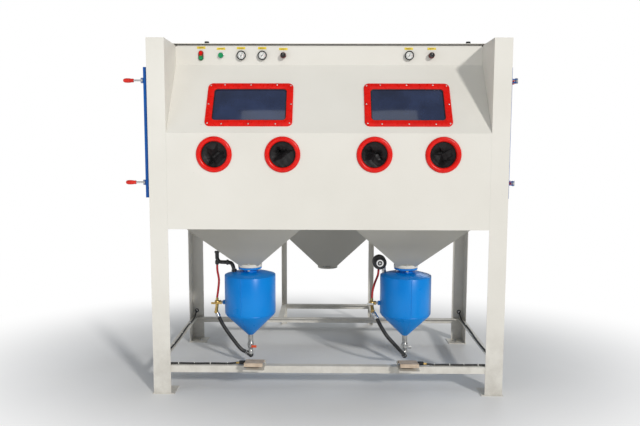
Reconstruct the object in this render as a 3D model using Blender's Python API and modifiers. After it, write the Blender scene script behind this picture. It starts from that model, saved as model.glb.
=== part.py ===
"""Double-station sandblast cabinet with two pressure pots and a rear dust collector.

Metres, +Z up. Sizes are written in cabinet coordinates: X to the right from the middle of the
front, Y into the depth from the front face, Z up from the floor. One empty then carries every
part, so that the origin lies under the middle of the whole machine.
"""
import math

import bmesh
import bpy
from mathutils import Matrix, Vector

# Driving dimensions
HALF_WIDTH = 1.0
DEPTH = 1.09
COLUMN_WIDTH = 0.10
SHEET = 0.003
GAP = 0.0003
ORIGIN_SHIFT = (0.045, -0.716, 0.0)

BODY_BOTTOM = 0.956
HOPPER_TOP = 1.093
BEND_Z = 1.493
SLOPE_TOP_Y = 0.27
SLOPE_TOP_Z = 1.895
FASCIA_TOP = 2.003
COLUMN_TOP = 2.010
ROOF_UNDERSIDE = 2.0173
SLOPE_ANGLE = math.atan2(SLOPE_TOP_Z - BEND_Z, SLOPE_TOP_Y)

PANEL_HALF = HALF_WIDTH - COLUMN_WIDTH
RAIL = 0.040
RAIL_STEEL = 0.004
RAIL_TOP = 0.168
FOOT_PLATE = 0.005
REAR_LEG_WIDTH = 0.083
REAR_LEG_DEPTH = 0.120

ARM_HEIGHT = 1.375
ARM_X = (-0.635, -0.255, 0.255, 0.635)
ARM_NAMES = ("left_outer", "left_inner", "right_inner", "right_outer")
RING_RADIUS = 0.100
PORT_RADIUS = 0.0725

WINDOW_X = 0.4465
WINDOW_MIDDLE = 0.1945
WINDOW_SIZE = (0.490, 0.300)
GLASS_VIEW = (0.415, 0.220)

CONTROL_Z = 1.950
GAUGE_X = {"pressure_gauge_left": -0.512, "pressure_gauge_middle": -0.389,
           "pressure_gauge_right": 0.471}
KNOB_X = {"left_regulator_knob": -0.266, "right_regulator_knob": 0.600}
SWITCH_X = -0.750
BLAST_BUTTON_X = -0.633

POT_X = 0.5
POT_Y = 0.5
POT_RADIUS = 0.163
FLANGE_RADIUS = 0.075
OUTLET_Z = 0.665

DOOR_LOW = 1.1325
DOOR_HIGH = 1.853
DOOR_FRONT = 0.020
DOOR_REAR = 0.952
DOOR_THICK = {"left": 0.020, "right": 0.004}
HINGE_Y = 0.963
HINGE_OUT = 0.0125
LATCH_Z = {"upper": 1.781, "lower": 1.217}
LATCH_Y = 0.036
LATCH_OUT = 0.034

COLLECTOR_HALF = 0.366
COLLECTOR_REAR = 1.500
COLLECTOR_BOTTOM = 0.8155
COLLECTOR_TOP = 1.900

DUST_Y = 1.300
DUST_Z = 0.500
COLLECTOR_HINGE = (-0.334, 1.5125)

AIR_PORT_Z = 0.418
DISCHARGE_Z = 0.138
TEE_Z = 0.070
TEE_REACH = 0.034
AIR_HOSE_RADIUS = 0.012
PILOT_HOSE_RADIUS = 0.007
SILENCER = (0.336, 0.674)

PEDAL_X = {"left": -0.416, "right": 0.458}
PEDAL_FRONT = -0.088
PEDAL_PIN = (0.030, 0.187)

# Scene preparation
for old in list(bpy.data.objects):
    bpy.data.objects.remove(old, do_unlink=True)


def collection(name):
    """A collection of that name, linked to the scene."""
    made = bpy.data.collections.new(name)
    bpy.context.scene.collection.children.link(made)
    return made


PARTS = collection("sandblast_cabinet")
CUTTERS = collection("cutters")
ORIGIN = bpy.data.objects.new("cabinet_origin", None)
ORIGIN.location = ORIGIN_SHIFT
PARTS.objects.link(ORIGIN)


def material(name, colour, roughness, metallic=0.0):
    """A Principled BSDF material of one colour."""
    made = bpy.data.materials.new(name)
    made.use_nodes = True
    shader = made.node_tree.nodes["Principled BSDF"]
    shader.inputs["Base Color"].default_value = (*colour, 1.0)
    shader.inputs["Roughness"].default_value = roughness
    shader.inputs["Metallic"].default_value = metallic
    return made


CREAM = material("cream_paint", (0.76, 0.73, 0.66), 0.45)
BLUE = material("blue_paint", (0.0, 0.28, 0.75), 0.35)
NAVY = material("door_paint", (0.0, 0.09, 0.35), 0.35)
RED = material("red_plastic", (0.80, 0.03, 0.01), 0.40)
GREEN = material("green_plastic", (0.02, 0.45, 0.08), 0.40)
RUBBER = material("black_rubber", (0.02, 0.02, 0.02), 0.75)
GLASS = material("window_glass", (0.03, 0.05, 0.14), 0.08)
GAUGE = material("gauge_case", (0.05, 0.05, 0.05), 0.40)
STEEL = material("plated_steel", (0.62, 0.62, 0.60), 0.30, 1.0)
BRASS = material("brass", (0.70, 0.48, 0.16), 0.32, 1.0)
HOSE_RED = material("red_hose", (0.55, 0.01, 0.01), 0.55)
BEIGE = material("pedal_beige", (0.72, 0.62, 0.50), 0.55)


def register(name, data, tool=False):
    """An object for that mesh or curve, carried by the cabinet's origin."""
    made = bpy.data.objects.new(name, data)
    made.parent = ORIGIN
    if tool:
        made.hide_render = True
        made.display_type = "WIRE"
        CUTTERS.objects.link(made)
    else:
        PARTS.objects.link(made)
    return made


def mesh_object(name, bm, tool=False):
    """An object whose mesh comes from a finished bmesh."""
    mesh = bpy.data.meshes.new(name)
    bmesh.ops.recalc_face_normals(bm, faces=bm.faces)
    bm.to_mesh(mesh)
    bm.free()
    return register(name, mesh, tool)


def box(name, low, high, tool=False):
    """A box between two corners."""
    bm = bmesh.new()
    bmesh.ops.create_cube(bm, size=1.0)
    size = Vector(high) - Vector(low)
    centre = (Vector(high) + Vector(low)) / 2
    bmesh.ops.scale(bm, vec=size, verts=bm.verts)
    bmesh.ops.translate(bm, vec=centre, verts=bm.verts)
    return mesh_object(name, bm, tool)


def rod(name, start, end, radius, end_radius=None, sides=20, tool=False):
    """A round bar, or a cone, from one point to another."""
    bm = bmesh.new()
    run = Vector(end) - Vector(start)
    turn = run.to_track_quat("Z", "Y").to_matrix().to_4x4()
    middle = Matrix.Translation((Vector(start) + Vector(end)) / 2)
    last = radius if end_radius is None else end_radius
    bmesh.ops.create_cone(bm, cap_ends=True, segments=sides, radius1=radius, radius2=last,
                          depth=run.length, matrix=middle @ turn)
    return mesh_object(name, bm, tool)


def ball(name, centre, radius, tool=False):
    """A coarse round body, such as a valve's, turned so that no edge lies along its pipes."""
    tilt = Matrix.Rotation(0.31, 4, "X") @ Matrix.Rotation(0.23, 4, "Y")
    bm = bmesh.new()
    bmesh.ops.create_uvsphere(bm, u_segments=12, v_segments=6, radius=radius,
                              matrix=Matrix.Translation(centre) @ tilt)
    return mesh_object(name, bm, tool)


def turned(name, profile, base, axis="Z", steps=32, ring=False, tool=False):
    """(radius, height) points, run down the outer side and turned about an axis through base."""
    mesh = bpy.data.meshes.new(name)
    edges = [(i, i + 1) for i in range(len(profile) - 1) if profile[i][0] or profile[i + 1][0]]
    if ring:
        edges.append((len(profile) - 1, 0))
    mesh.from_pydata([(radius, 0.0, height) for radius, height in profile], edges, [])
    outline = register(name, mesh, tool=True)
    screw = outline.modifiers.new("turn", "SCREW")
    screw.steps = steps
    screw.render_steps = steps
    screw.use_merge_vertices = True
    screw.merge_threshold = 0.00001
    shape = outline.evaluated_get(bpy.context.evaluated_depsgraph_get())
    bm = bmesh.new()
    bm.from_mesh(bpy.data.meshes.new_from_object(shape))
    bpy.data.objects.remove(outline, do_unlink=True)
    # Heights run up for Z, towards the viewer for Y and to the right for X.
    turn = {"Z": Matrix.Identity(4), "Y": Matrix.Rotation(math.pi / 2, 4, "X"),
            "X": Matrix.Rotation(math.pi / 2, 4, "Y")}[axis]
    bmesh.ops.transform(bm, matrix=Matrix.Translation(base) @ turn, verts=bm.verts)
    return mesh_object(name, bm, tool)


def rounded_plate(name, size, thickness, radius, matrix, tool=False):
    """A plate with four rounded corners, lying on the matrix's XY plane."""
    bm = bmesh.new()
    bmesh.ops.create_cube(bm, size=1.0)
    bmesh.ops.scale(bm, vec=(*size, thickness), verts=bm.verts)
    bmesh.ops.translate(bm, vec=(0, 0, thickness / 2), verts=bm.verts)
    upright = [e for e in bm.edges if abs(e.verts[0].co.z - e.verts[1].co.z) > thickness / 2]
    bmesh.ops.bevel(bm, geom=upright, offset=radius, segments=4, profile=0.5, affect="EDGES")
    bmesh.ops.transform(bm, matrix=matrix, verts=bm.verts)
    return mesh_object(name, bm, tool)


def folded_sheet(name, outline, x_low, x_high, thickness, offset=-1.0):
    """Sheet metal folded along X: an open run of (y, z) points, drawn out and thickened."""
    mesh = bpy.data.meshes.new(name)
    count = len(outline)
    verts = [(x, y, z) for x in (x_low, x_high) for y, z in outline]
    faces = [(i, i + count, i + count + 1, i + 1) for i in range(count - 1)]
    mesh.from_pydata(verts, [], faces)
    made = register(name, mesh)
    wall = made.modifiers.new("wall", "SOLIDIFY")
    wall.thickness = thickness
    wall.offset = offset
    wall.use_even_offset = True
    return made


def tube(name, route, radius, resolution=2):
    """A round tube along a smooth curve through the route's points."""
    points = smooth(route, radius * 6)
    curve = bpy.data.curves.new(name, "CURVE")
    curve.dimensions = "3D"
    curve.bevel_depth = radius
    curve.bevel_resolution = resolution
    curve.use_fill_caps = True
    line = curve.splines.new("POLY")
    line.points.add(len(points) - 1)
    for knot, point in zip(line.points, points):
        knot.co = (*point, 1.0)
    return register(name, curve)


def smooth(route, spacing):
    """Points about that far apart on a Catmull-Rom curve through the route."""
    knots = [Vector(point) for point in route]
    ends = [2 * knots[0] - knots[1], *knots, 2 * knots[-1] - knots[-2]]
    found = []
    for index in range(1, len(ends) - 2):
        a, b, c, d = ends[index - 1:index + 3]
        pieces = max(1, round((c - b).length / spacing))
        for step in range(pieces):
            t = step / pieces
            found.append(0.5 * (2 * b + (c - a) * t + (2 * a - 5 * b + 4 * c - d) * t ** 2
                                + (3 * b - a - 3 * c + d) * t ** 3))
    found.append(knots[-1])
    return found


def combine(target, others, operation="UNION"):
    """Join other solids to the target, or cut them out of it."""
    for other in others:
        step = target.modifiers.new(other.name, "BOOLEAN")
        step.operation = operation
        step.solver = "EXACT"
        step.object = other
    return target


def cut(target, *others):
    """Cut the other solids out of the target."""
    return combine(target, others, "DIFFERENCE")


def paint(made, finish, smooth_shade=False):
    """Give the part its finish, and shade it smooth where it is round."""
    made.data.materials.clear()
    made.data.materials.append(finish)
    if smooth_shade and made.type == "MESH":
        made.data.shade_smooth()
    return made


def pivot(made, point):
    """Move a part's own origin onto its joint's axis."""
    made.data.transform(Matrix.Translation(-Vector(point)))
    made.location = point
    return made


def slope_matrix(x=0.0, along=0.0, out=0.0):
    """Local X along the slope's width, Y up the slope, Z out of it, at a place on its face."""
    up = Vector((0.0, math.cos(SLOPE_ANGLE), math.sin(SLOPE_ANGLE)))
    normal = Vector((0.0, -math.sin(SLOPE_ANGLE), math.cos(SLOPE_ANGLE)))
    place = Vector((x, 0.0, BEND_Z)) + up * along + normal * out
    turn = Matrix((Vector((1, 0, 0)), up, normal)).transposed().to_4x4()
    return Matrix.Translation(place) @ turn


def side_frame(side, sign):
    """Front column, rear leg, side rail and feet, welded into one frame."""
    def wall(label, x_out, x_in, y, z):
        low = (min(sign * x_out, sign * x_in), y[0], z[0])
        high = (max(sign * x_out, sign * x_in), y[1], z[1])
        return box(f"{side}_{label}", low, high, tool=label != "side_frame")
    outer = HALF_WIDTH
    column = wall("side_frame", outer, PANEL_HALF, (0, SHEET), (FOOT_PLATE - 0.001, COLUMN_TOP))
    leg_z = (FOOT_PLATE - 0.001, COLUMN_TOP)
    rear_y = DEPTH - REAR_LEG_DEPTH
    cheek = bpy.data.curves.new(f"{side}_cheek", "CURVE")
    cheek.dimensions = "2D"
    cheek.fill_mode = "BOTH"
    cheek.extrude = SHEET / 2
    edge = cheek.splines.new("POLY")
    corners = ((0.001, BEND_Z - 0.03), (0.001, COLUMN_TOP), (SLOPE_TOP_Y, COLUMN_TOP),
               (SLOPE_TOP_Y, SLOPE_TOP_Z))
    edge.points.add(len(corners) - 1)
    for knot, (y, z) in zip(edge.points, corners):
        knot.co = (y, z, 0.0, 1.0)
    edge.use_cyclic_u = True
    cheek_place = Matrix(((0, 0, 1, sign * (PANEL_HALF + SHEET / 2)), (1, 0, 0, 0), (0, 1, 0, 0),
                          (0, 0, 0, 1)))
    plates = [
        wall("column_side", outer, outer - SHEET, (0, COLUMN_WIDTH), leg_z),
        wall("column_cap", outer, PANEL_HALF, (0, SLOPE_TOP_Y), (COLUMN_TOP - SHEET, COLUMN_TOP)),
        curve_solid(cheek, cheek_place),
        wall("rear_flange", outer, outer - REAR_LEG_WIDTH, (DEPTH - SHEET, DEPTH),
             (leg_z[0], COLUMN_TOP)),
        wall("rear_side", outer, outer - SHEET, (rear_y, DEPTH), (leg_z[0], COLUMN_TOP)),
        wall("rail_top", outer - 0.001, outer - SHEET - RAIL, (0.002, DEPTH - 0.002),
             (RAIL_TOP - RAIL_STEEL, RAIL_TOP)),
        wall("rail_side", outer - 0.001, outer - SHEET - RAIL_STEEL, (0.002, DEPTH - 0.002),
             (RAIL_TOP - RAIL, RAIL_TOP)),
        wall("front_foot", outer + 0.006, PANEL_HALF - 0.02, (-0.006, 0.115), (0, FOOT_PLATE)),
        wall("rear_foot", outer + 0.006, PANEL_HALF - 0.02, (0.975, DEPTH + 0.006),
             (0, FOOT_PLATE)),
    ]
    combine(column, plates)
    grommet_x = sign * (outer - 0.03)
    cut(column, rod(f"{side}_grommet_hole", (grommet_x, DEPTH - 0.02, 0.21),
                    (grommet_x, DEPTH + 0.02, 0.21), 0.012, tool=True))
    return paint(column, CREAM)


def curve_solid(curve, place):
    """A flat outline made into a mesh solid, to join to another part."""
    made = register(curve.name, curve, tool=True)
    shape = made.evaluated_get(bpy.context.evaluated_depsgraph_get())
    mesh = bpy.data.meshes.new_from_object(shape)
    bpy.data.objects.remove(made, do_unlink=True)
    bm = bmesh.new()
    bm.from_mesh(mesh)
    bmesh.ops.remove_doubles(bm, verts=bm.verts, dist=0.00001)
    bmesh.ops.transform(bm, matrix=place, verts=bm.verts)
    return mesh_object(mesh.name, bm, tool=True)


def angle_rail(name, x_low, x_high, y_face, inward, top):
    """An angle-steel rail along X, its upright leg on y_face and its flat leg on top."""
    y_edge = sorted((y_face, y_face + inward * RAIL))
    y_wall = sorted((y_face, y_face + inward * RAIL_STEEL))
    rail = box(name, (x_low, y_edge[0], top - RAIL_STEEL), (x_high, y_edge[1], top))
    combine(rail, [box(f"{name}_wall", (x_low, y_wall[0], top - RAIL), (x_high, y_wall[1], top),
                       tool=True)])
    return paint(rail, CREAM)


def collector_frame():
    """Two posts and the rails that tie the dust collector to the cabinet's rear rail."""
    front = DEPTH + 0.0006
    outer = COLLECTOR_HALF
    top = 0.162
    frame = box("collector_frame", (-outer, COLLECTOR_REAR - RAIL_STEEL, top - RAIL),
                (outer, COLLECTOR_REAR, top))
    plates = [box("collector_rail_top", (-outer, COLLECTOR_REAR - RAIL, top - RAIL_STEEL),
                  (outer, COLLECTOR_REAR, top), tool=True)]
    for sign in (-1, 1):
        def plate(label, x_in, y, z):
            x = sorted((sign * outer, sign * (outer - x_in)))
            return box(f"collector_{label}", (x[0], y[0], z[0]), (x[1], y[1], z[1]), tool=True)
        rear = COLLECTOR_REAR
        high = COLLECTOR_BOTTOM - GAP
        plates += [
            plate("post_side", RAIL_STEEL, (rear - RAIL, rear), (0, high)),
            plate("post_rear", RAIL, (rear - RAIL_STEEL, rear), (0, high)),
            plate("low_side", RAIL_STEEL, (front, rear), (top - RAIL, top)),
            plate("low_top", RAIL, (front, rear), (top - RAIL_STEEL, top)),
            plate("high_side", RAIL_STEEL, (front, rear), (high - RAIL, high)),
        ]
    return paint(combine(frame, plates), CREAM)


def front_panel():
    """Apron, upright front, slope and fascia folded from one sheet, with its openings."""
    half = PANEL_HALF - GAP
    outline = [(0.028, BODY_BOTTOM), (0, BODY_BOTTOM), (0, BEND_Z),
               (SLOPE_TOP_Y, SLOPE_TOP_Z), (SLOPE_TOP_Y, FASCIA_TOP)]
    panel = folded_sheet("front_panel", outline, -half, half, SHEET)
    holes = []
    for x in ARM_X:
        holes.append(rod("arm_hole", (x, -0.05, ARM_HEIGHT), (x, 0.05, ARM_HEIGHT), 0.082,
                         sides=24, tool=True))
    for x in (-WINDOW_X, WINDOW_X):
        place = slope_matrix(x, WINDOW_MIDDLE, -0.02)
        holes.append(rounded_plate("window_hole", (0.460, 0.265), 0.04, 0.025, place, tool=True))
    fascia = {SWITCH_X: 0.009, BLAST_BUTTON_X: 0.012}
    fascia.update({x: 0.022 for x in GAUGE_X.values()})
    fascia.update({x: 0.006 for x in KNOB_X.values()})
    for x, radius in fascia.items():
        holes.append(rod("control_hole", (x, SLOPE_TOP_Y - 0.03, CONTROL_Z),
                         (x, SLOPE_TOP_Y + 0.03, CONTROL_Z), radius, sides=16, tool=True))
    return paint(cut(panel, *holes), CREAM)


def side_panel(side, sign):
    """Side sheet with the loading door's opening, its fixed hinge leaf, knuckles and pin."""
    x = sorted((sign * HALF_WIDTH, sign * (HALF_WIDTH - SHEET)))
    front = COLUMN_WIDTH + GAP
    rear = DEPTH - REAR_LEG_DEPTH - GAP
    panel = box(f"{side}_side_panel", (x[0], front, BODY_BOTTOM), (x[1], rear, COLUMN_TOP - 0.0035))
    cut(panel, box(f"{side}_door_opening", (x[0] - 0.01, 0.14, 1.165), (x[1] + 0.01, 0.90, 1.820),
                   tool=True))
    pin_x = sign * (HALF_WIDTH + HINGE_OUT)
    leaf_x = sorted((sign * (HALF_WIDTH - 0.001), sign * (HALF_WIDTH + SHEET)))
    leaf = box(f"{side}_hinge_leaf", (leaf_x[0], HINGE_Y - 0.02, 1.18), (leaf_x[1], rear, 1.81),
               tool=True)
    pin = rod(f"{side}_hinge_pin", (pin_x, HINGE_Y, 1.175), (pin_x, HINGE_Y, 1.815), 0.004,
              sides=12, tool=True)
    knuckles = []
    for low, high in ((1.18, 1.30), (1.43, 1.57), (1.70, 1.81)):
        knuckles.append(rod(f"{side}_knuckle", (pin_x, HINGE_Y, low), (pin_x, HINGE_Y, high), 0.008,
                            sides=12, tool=True))
        web_x = sorted((sign * (HALF_WIDTH + 0.002), pin_x))
        knuckles.append(box(f"{side}_knuckle_web", (web_x[0], HINGE_Y, low),
                            (web_x[1], HINGE_Y + 0.0065, high), tool=True))
    return paint(combine(panel, [leaf, pin, *knuckles]), CREAM)


def rear_and_roof():
    """Back sheet with the extraction hole, and the roof sheet with its two cable glands."""
    half = HALF_WIDTH - REAR_LEG_WIDTH - GAP
    rear = box("rear_panel", (-half, DEPTH - SHEET, BODY_BOTTOM), (half, DEPTH, COLUMN_TOP))
    cut(rear, rod("extraction_hole", (0, DEPTH - 0.05, 1.65), (0, DEPTH + 0.05, 1.65), 0.12,
                  sides=24, tool=True))
    paint(rear, CREAM)
    roof = box("roof_panel", (-HALF_WIDTH, SLOPE_TOP_Y - 0.006, ROOF_UNDERSIDE),
               (HALF_WIDTH, DEPTH, ROOF_UNDERSIDE + SHEET))
    rim = ROOF_UNDERSIDE - 0.0067
    parts = [box("roof_edge", (-PANEL_HALF + 0.006, SLOPE_TOP_Y + 0.004, FASCIA_TOP + 0.001),
                 (PANEL_HALF - 0.006, SLOPE_TOP_Y + 0.016, ROOF_UNDERSIDE + 0.001), tool=True),
             box("roof_rear_edge", (-HALF_WIDTH, DEPTH - 0.010, rim),
                 (HALF_WIDTH, DEPTH, ROOF_UNDERSIDE + 0.001), tool=True)]
    for x in (-0.72, 0.82):
        parts.append(rod("gland", (x, SLOPE_TOP_Y + 0.03, ROOF_UNDERSIDE),
                         (x, SLOPE_TOP_Y + 0.03, ROOF_UNDERSIDE + 0.018), 0.012, sides=12,
                         tool=True))
    paint(combine(roof, parts), CREAM)


def hopper(side, sign):
    """Sheet pyramid from half of the cabinet's floor down to a flanged outlet."""
    x_low, x_high = sorted((sign * 0.002, sign * (HALF_WIDTH - 0.012)))
    y_low, y_high = 0.006, DEPTH - 0.006
    mouth = 0.058
    bm = bmesh.new()
    upper = [bm.verts.new((x, y, HOPPER_TOP)) for x, y in
             ((x_low, y_low), (x_high, y_low), (x_high, y_high), (x_low, y_high))]
    lower = [bm.verts.new((sign * POT_X + dx * mouth, POT_Y + dy * mouth, OUTLET_Z + 0.006))
             for dx, dy in ((-1, -1), (1, -1), (1, 1), (-1, 1))]
    for i in range(4):
        bm.faces.new((upper[i], upper[(i + 1) % 4], lower[(i + 1) % 4], lower[i]))
    made = mesh_object(f"{side}_hopper", bm)
    wall = made.modifiers.new("wall", "SOLIDIFY")
    wall.thickness = SHEET
    wall.offset = -1.0
    wall.use_even_offset = True
    ring = ((FLANGE_RADIUS, OUTLET_Z + 0.009), (FLANGE_RADIUS, OUTLET_Z - 0.003),
            (0.040, OUTLET_Z - 0.003), (0.040, OUTLET_Z + 0.009))
    flange = turned(f"{side}_outlet_flange", ring, (sign * POT_X, POT_Y, 0), steps=24, ring=True,
                    tool=True)
    combine(made, [flange])
    return paint(made, CREAM)


def work_grate():
    """Welded bar grate that the workpieces stand on, over both hoppers."""
    cells = (6, 3)
    bar = 0.012
    low, high = (-0.985, 0.014), (0.985, DEPTH - 0.014)
    bm = bmesh.new()
    bmesh.ops.create_grid(bm, x_segments=2 * cells[0] + 1, y_segments=2 * cells[1] + 1, size=0.5)
    steps = [2 * count + 1 for count in cells]
    holes = []
    for face in bm.faces:
        middle = face.calc_center_median()
        index = [int((middle[k] + 0.5) * steps[k]) for k in (0, 1)]
        if index[0] % 2 and index[1] % 2:
            holes.append(face)
    bmesh.ops.delete(bm, geom=holes, context="FACES")
    for vert in bm.verts:
        for k in (0, 1):
            index = round((vert.co[k] + 0.5) * steps[k])
            pitch = (high[k] - low[k] - bar) / cells[k]
            vert.co[k] = low[k] + (index // 2) * pitch + (index % 2) * bar
        vert.co.z = HOPPER_TOP + 0.003
    grate = mesh_object("work_grate", bm)
    thick = grate.modifiers.new("bars", "SOLIDIFY")
    thick.thickness = 0.020
    thick.offset = 1.0
    return paint(grate, STEEL)


def door(side, sign):
    """Loading door: a sheet tray or a flush plate, with two hinge knuckles and two latch brackets."""
    inner = HALF_WIDTH + SHEET + 0.0005
    outer = inner + DOOR_THICK[side]
    x = sorted((sign * inner, sign * outer))
    tray = box(f"{side}_door", (x[0], DOOR_FRONT, DOOR_LOW), (x[1], DOOR_REAR, DOOR_HIGH))
    hollow = sorted((sign * (inner - 0.01), sign * (outer - 0.002)))
    cut(tray, box(f"{side}_door_hollow", (hollow[0], DOOR_FRONT + 0.004, DOOR_LOW + 0.004),
                  (hollow[1], DOOR_REAR - 0.004, DOOR_HIGH - 0.004), tool=True))
    pin_x = sign * (HALF_WIDTH + HINGE_OUT)
    joined = []
    for low, high in ((1.3003, 1.4297), (1.5703, 1.6997)):
        joined.append(rod(f"{side}_door_knuckle", (pin_x, HINGE_Y, low), (pin_x, HINGE_Y, high),
                          0.008, sides=12, tool=True))
        web = sorted((sign * (inner + 0.001), pin_x))
        joined.append(box(f"{side}_door_web", (web[0], DOOR_REAR - 0.003, low),
                          (web[1], HINGE_Y - 0.004, high), tool=True))
    eye_x = sign * (HALF_WIDTH + LATCH_OUT)
    for z in LATCH_Z.values():
        base = sorted((sign * (outer - 0.001), eye_x + sign * 0.003))
        for ear in (-1, 1):
            near, far = sorted((z + ear * 0.0065, z + ear * 0.0115))
            joined.append(box(f"{side}_latch_ear", (base[0], LATCH_Y - 0.008, near),
                              (base[1], LATCH_Y + 0.008, far), tool=True))
        joined.append(rod(f"{side}_latch_pin", (eye_x, LATCH_Y, z - 0.0115),
                          (eye_x, LATCH_Y, z + 0.0115), 0.0025, sides=10, tool=True))
    combine(tray, joined)
    cut(tray, rod(f"{side}_pin_bore", (pin_x, HINGE_Y, 1.17), (pin_x, HINGE_Y, 1.82), 0.0045,
                  sides=12, tool=True))
    paint(tray, NAVY)
    return pivot(tray, (pin_x, HINGE_Y, 0))


def latch_lever(side, sign, level, opened):
    """Toggle lever with a thick grip, turning on its pin: sticking out, or lying along the door."""
    pin = Vector((sign * (HALF_WIDTH + LATCH_OUT), LATCH_Y, LATCH_Z[level]))
    name = f"{side}_{level}_latch"
    lever = rod(name, pin - Vector((0, 0, 0.006)), pin + Vector((0, 0, 0.006)), 0.006, sides=14)
    if opened:
        bar = box(f"{name}_bar", pin + Vector((-0.052, -0.003, -0.005)),
                  pin + Vector((0, 0.003, 0.005)), tool=True)
        grip = rod(f"{name}_grip", pin + Vector((-0.105, 0, 0)), pin + Vector((-0.047, 0, 0)),
                   0.010, 0.0125, sides=14, tool=True)
    else:
        bar = box(f"{name}_bar", pin + Vector((-0.001, 0, -0.005)),
                  pin + Vector((0.005, 0.052, 0.005)), tool=True)
        grip = rod(f"{name}_grip", pin + Vector((0.003, 0.105, 0)), pin + Vector((0.003, 0.047, 0)),
                   0.010, 0.0125, sides=14, tool=True)
    combine(lever, [bar, grip])
    cut(lever, rod(f"{name}_bore", pin - Vector((0, 0, 0.02)), pin + Vector((0, 0, 0.02)), 0.003,
                   sides=10, tool=True))
    paint(lever, RED)
    return pivot(lever, pin)


def window(side, sign):
    """Red clamp frame outside the slope, and the pane it holds in the opening."""
    x = sign * WINDOW_X
    frame = rounded_plate(f"{side}_window_frame", WINDOW_SIZE, 0.007, 0.030,
                          slope_matrix(x, WINDOW_MIDDLE, GAP))
    cut(frame, rounded_plate(f"{side}_view_hole", GLASS_VIEW, 0.04, 0.020,
                             slope_matrix(x, WINDOW_MIDDLE, -0.02), tool=True))
    paint(frame, RED)
    pane = rounded_plate(f"{side}_window_glass", (0.454, 0.259), 0.0055, 0.022,
                         slope_matrix(x, WINDOW_MIDDLE, -0.0058))
    paint(pane, GLASS)


def arm_port(name, x):
    """Rounded ring with a spigot through the panel, and the sleeve and glove clamped on it."""
    ring = ((PORT_RADIUS, 0.006), (PORT_RADIUS + 0.006, 0.012), (RING_RADIUS - 0.008, 0.012),
            (RING_RADIUS - 0.002, 0.009), (RING_RADIUS, 0.004), (RING_RADIUS, GAP),
            (PORT_RADIUS + 0.0065, GAP), (PORT_RADIUS + 0.0065, -0.045), (PORT_RADIUS, -0.045))
    made = turned(f"{name}_arm_ring", ring, (x, 0, ARM_HEIGHT), axis="Y", steps=16, ring=True)
    paint(made, RED)
    outside = ((0.0835, -0.008), (0.0835, -0.050), (0.066, -0.28), (0.055, -0.36),
               (0.058, -0.42), (0.042, -0.48), (0, -0.502))
    inside = ((0, -0.496), (0.038, -0.476), (0.054, -0.42), (0.051, -0.36),
              (0.062, -0.28), (0.0793, -0.050), (0.0793, -0.008))
    glove = turned(f"{name}_glove", (outside + inside), (x, 0, ARM_HEIGHT), axis="Y",
                   steps=16, ring=True)
    return paint(glove, RUBBER)


def on_fascia(x, out=0.0, z=CONTROL_Z):
    """A place on the fascia's face, or in front of it."""
    return (x, SLOPE_TOP_Y - out, z)


def push_button(name, x, z, radius, finish):
    """Button cap on a stem, standing clear of the face it travels towards."""
    profile = ((0, 0.016), (radius - 0.003, 0.016), (radius, 0.012), (radius, 0.007),
               (0.004, 0.007), (0.004, -0.014), (0, -0.014))
    cap = turned(name, profile, on_fascia(x, 0, z), axis="Y", steps=20)
    return paint(cap, finish, True)


def controls():
    """Switch plate, three push buttons, three gauges and two regulator knobs."""
    plate = box("switch_plate", on_fascia(SWITCH_X - 0.015, 0.0055, CONTROL_Z - 0.029),
                on_fascia(SWITCH_X + 0.015, GAP, CONTROL_Z + 0.029))
    boss = box("switch_boss", on_fascia(SWITCH_X - 0.008, 0.002, CONTROL_Z - 0.003),
               on_fascia(SWITCH_X + 0.008, -0.030, CONTROL_Z + 0.003), tool=True)
    combine(plate, [boss])
    for offset in (-0.0135, 0.0135):
        hole_z = CONTROL_Z + offset
        cut(plate, rod("button_hole", on_fascia(SWITCH_X, 0.03, hole_z),
                       on_fascia(SWITCH_X, -0.002, hole_z), 0.0043, sides=12, tool=True))
    paint(plate, GAUGE)
    for name, offset, finish in (("stop_button", 0.0135, RED), ("start_button", -0.0135, GREEN)):
        profile = ((0, 0.0155), (0.0095, 0.0155), (0.0110, 0.0140), (0.0110, 0.0102),
                   (0.0038, 0.0102), (0.0038, 0.0050), (0, 0.0050))
        paint(turned(name, profile, on_fascia(SWITCH_X, 0, CONTROL_Z + offset), axis="Y",
                     steps=20), finish)
    push_button("blast_button", BLAST_BUTTON_X, CONTROL_Z, 0.015, GREEN)
    case = ((0, 0.016), (0.0235, 0.016), (0.0270, 0.0185), (0.0270, 0.004), (0.0255, GAP),
            (0.0210, GAP), (0.0210, -0.028), (0.006, -0.028), (0.006, -0.045), (0, -0.045))
    for name, x in GAUGE_X.items():
        paint(turned(name, case, on_fascia(x), axis="Y", steps=20), GAUGE)
    knob = ((0, 0.034), (0.0145, 0.034), (0.0170, 0.031), (0.0175, 0.016), (0.0155, 0.012),
            (0.0155, 0.001), (0.0050, 0.001), (0.0050, -0.030), (0, -0.030))
    for name, x in KNOB_X.items():
        paint(turned(name, knob, on_fascia(x), axis="Y", steps=16), RED)


def blast_pot(side, sign):
    """Pressure pot: flanged neck, domed top, cylinder and cone, open at both ends."""
    top = OUTLET_Z - 0.003 - GAP
    outer = ((FLANGE_RADIUS, top), (FLANGE_RADIUS, top - 0.020), (0.046, top - 0.020),
             (0.046, 0.630), (0.095, 0.624), (0.140, 0.610), (POT_RADIUS, 0.588),
             (POT_RADIUS, 0.360), (0.155, 0.343), (0.024, 0.212), (0.017, 0.206), (0.017, 0.166))
    inner = ((0.011, 0.166), (0.011, 0.214), (0.149, 0.347), (0.158, 0.362), (0.158, 0.586),
             (0.137, 0.606), (0.093, 0.619), (0.040, 0.625), (0.040, top))
    pot = turned(f"{side}_blast_pot", outer + inner, (sign * POT_X, POT_Y, 0), steps=24, ring=True)
    return paint(pot, BLUE)


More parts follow.
